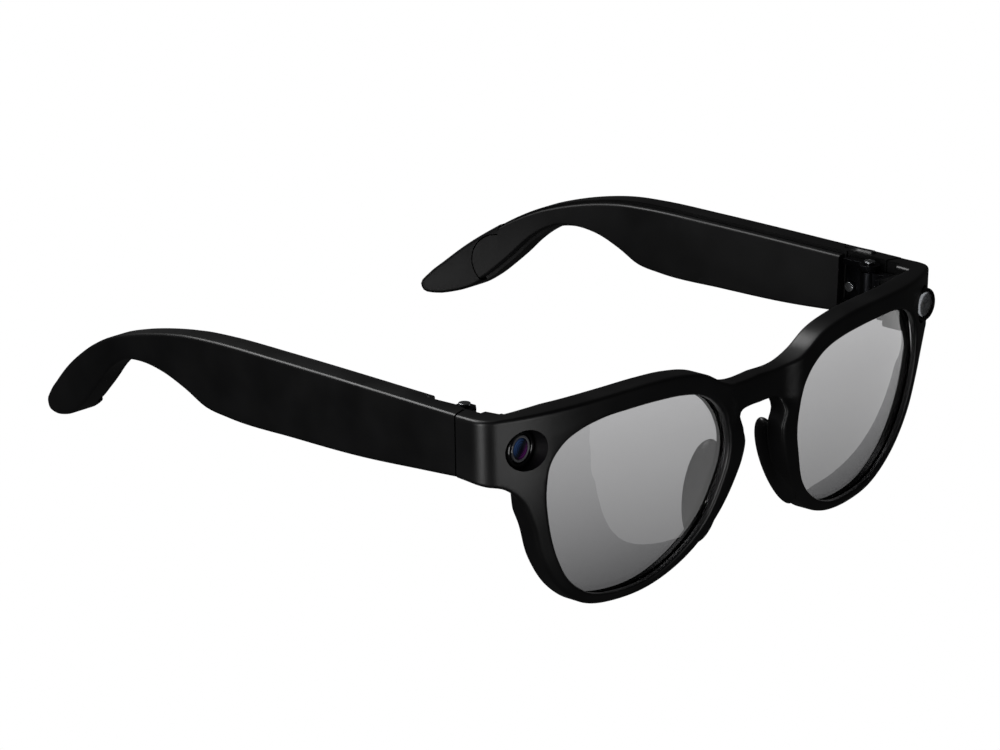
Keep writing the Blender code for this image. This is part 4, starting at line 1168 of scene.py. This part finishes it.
# Moulded acrylic: clear grey, slightly blurred
dome, _, _, _ = finish(
    "diffusing_dome", Transmission_Weight=1.0, Roughness=0.08, IOR=1.49,
    Base_Color=colour("8d8f93"),
)
light_pieces(1, {"bezel": BEZEL_GLOSS, "dome": dome, "chip": PHOSPHOR_PAINTED_GLOW})
for side_name, side_sign in SIDES:
    shell(side_name, side_sign, FRONT_NYLON)
    cover(side_name, side_sign, COVER_NYLON)
    for kind, surface, width in (
        ("hinge_front_leaf", DARK_STEEL, 0.12),
        ("hinge_temple_leaf", DARK_STEEL, 0.12),
        ("hinge_front_screw", PIN_STEEL, 0.08),
        ("hinge_temple_screw", PIN_STEEL, 0.08),
        ("hinge_pin", PIN_STEEL, 0.1),
        ("circuit_board", BOARD, 0.08),
        ("sound_chip", CHIP, 0.1),
        ("battery", FOIL, 0.4),
        ("speaker", BOX_GREY, 0.3),
        ("microphone", CAN, 0.08),
    ):
        node = f"{kind}_{side_name}"
        refined(node, BODY_OF[node], surface, width)
button_cap(BUTTON_ABS)
for node, surface, width in (
    ("camera_barrel", DARK_STEEL, 0.1),
    ("camera_board", BOARD, 0.05),
    ("light_board", BOARD, 0.05),
    ("button_switch", SWITCH, 0.1),
    *((f"charge_magnet_{number}", NICKEL, 0.1) for number in (1, 2)),
    *((f"charge_contact_{number}", GOLD, 0.12) for number in (1, 2, 3, 4)),
):
    refined(node, BODY_OF[node], surface, width)


# ---------------------------------------------------------------- studio, in metres

FLOOR_RADIUS = 1.6
DOME_STEPS = (  # outwards, upwards
    (0.35, 0.06),
    (0.25, 0.25),
    (0.08, 0.6),
    (-0.4, 0.7),
    (-0.9, 0.5),
    (-0.85, 0.2),
)
VIEW_AZIMUTH = -48.8
VIEW_ELEVATION = 17.6
VIEW_DISTANCE = 0.765
VIEW_TARGET = (-0.0132, -0.013, 0.02926)
FOCAL_LENGTH = 132.6  # mm, on a 36 mm wide sensor


def studio():
    """A white floor that rises into a dome, seen through the lenses but not mirrored."""
    bpy.ops.object.select_all(action="DESELECT")
    bpy.ops.mesh.primitive_circle_add(
        vertices=96, radius=FLOOR_RADIUS, fill_type="NGON", location=(0, 0, -0.0002)
    )
    made = bpy.context.object
    made.name = "studio_floor"
    place_in_mesh(made)
    edit(made)
    radius = FLOOR_RADIUS
    for reach, rise in DOME_STEPS:
        bpy.ops.mesh.extrude_region_move(TRANSFORM_OT_translate={"value": (0, 0, rise)})
        ratio = (radius + reach) / radius
        radius += reach
        bpy.ops.transform.resize(value=(ratio, ratio, 1), center_override=(0, 0, 0))
    bpy.ops.mesh.select_all(action="SELECT")
    bpy.ops.mesh.normals_make_consistent(inside=True)
    done()
    bpy.ops.object.shade_smooth()
    white, _, shader, _ = finish(
        "white_sweep", Base_Color=(0.0, 0.0, 0.0, 1.0), Roughness=1.0,
        Emission_Color=(1.0, 1.0, 1.0, 1.0), Emission_Strength=1.0,
    )
    shader.inputs["Specular IOR Level"].default_value = 0.0
    made.data.materials.append(white)
    made.visible_glossy = False
    made.visible_diffuse = False
    made.visible_shadow = False


def soft_light(name, place, target, size, power):
    light = bpy.data.lights.new(name, "AREA")
    light.shape = "RECTANGLE"
    light.size, light.size_y = size
    light.energy = power
    made = bpy.data.objects.new(name, light)
    bpy.context.scene.collection.objects.link(made)
    made.location = place
    made.rotation_euler = (Vector(target) - Vector(place)).to_track_quat("-Z", "Y").to_euler()
    made.visible_camera = False
    return made


def camera():
    azimuth, elevation = math.radians(VIEW_AZIMUTH), math.radians(VIEW_ELEVATION)
    back = Vector(
        (
            math.sin(azimuth) * math.cos(elevation),
            -math.cos(azimuth) * math.cos(elevation),
            math.sin(elevation),
        )
    )
    target = Vector(VIEW_TARGET)
    data = bpy.data.cameras.new("camera")
    data.lens = FOCAL_LENGTH
    data.sensor_width = 36.0
    data.clip_start = 0.01
    made = bpy.data.objects.new("camera", data)
    bpy.context.scene.collection.objects.link(made)
    made.location = target + back * VIEW_DISTANCE
    made.rotation_euler = (-back).to_track_quat("-Z", "Y").to_euler()
    bpy.context.scene.camera = made


studio()
soft_light("overhead", (-0.1, 0.5, 0.75), (0, 0, 0.03), (0.6, 0.3), 4.5)
soft_light("left_wall", (-0.75, -0.12, 0.02), (-0.05, 0, 0.03), (0.25, 0.5), 2.2)
soft_light("front_fill", (-0.2, -0.95, -0.12), (0, -0.03, 0.03), (0.4, 0.4), 1.5)
arc = soft_light("lens_arc", (0.85, -0.7, -0.1), (-0.03, -0.07, 0.02), (1.25, 1.25), 3.8)
arc.data.shape = "DISK"
lens_collection = bpy.data.collections.new("lens_receivers")
for side_name, _ in SIDES:
    lens_collection.objects.link(bpy.data.objects[f"lens_{side_name}_cast"])
arc.light_linking.receiver_collection = lens_collection
camera()
world = bpy.data.worlds.new("studio_world")
world.use_nodes = True
world.node_tree.nodes["Background"].inputs["Color"].default_value = (0.02, 0.02, 0.02, 1.0)
bpy.context.scene.world = world
bpy.context.scene.view_settings.view_transform = "Standard"
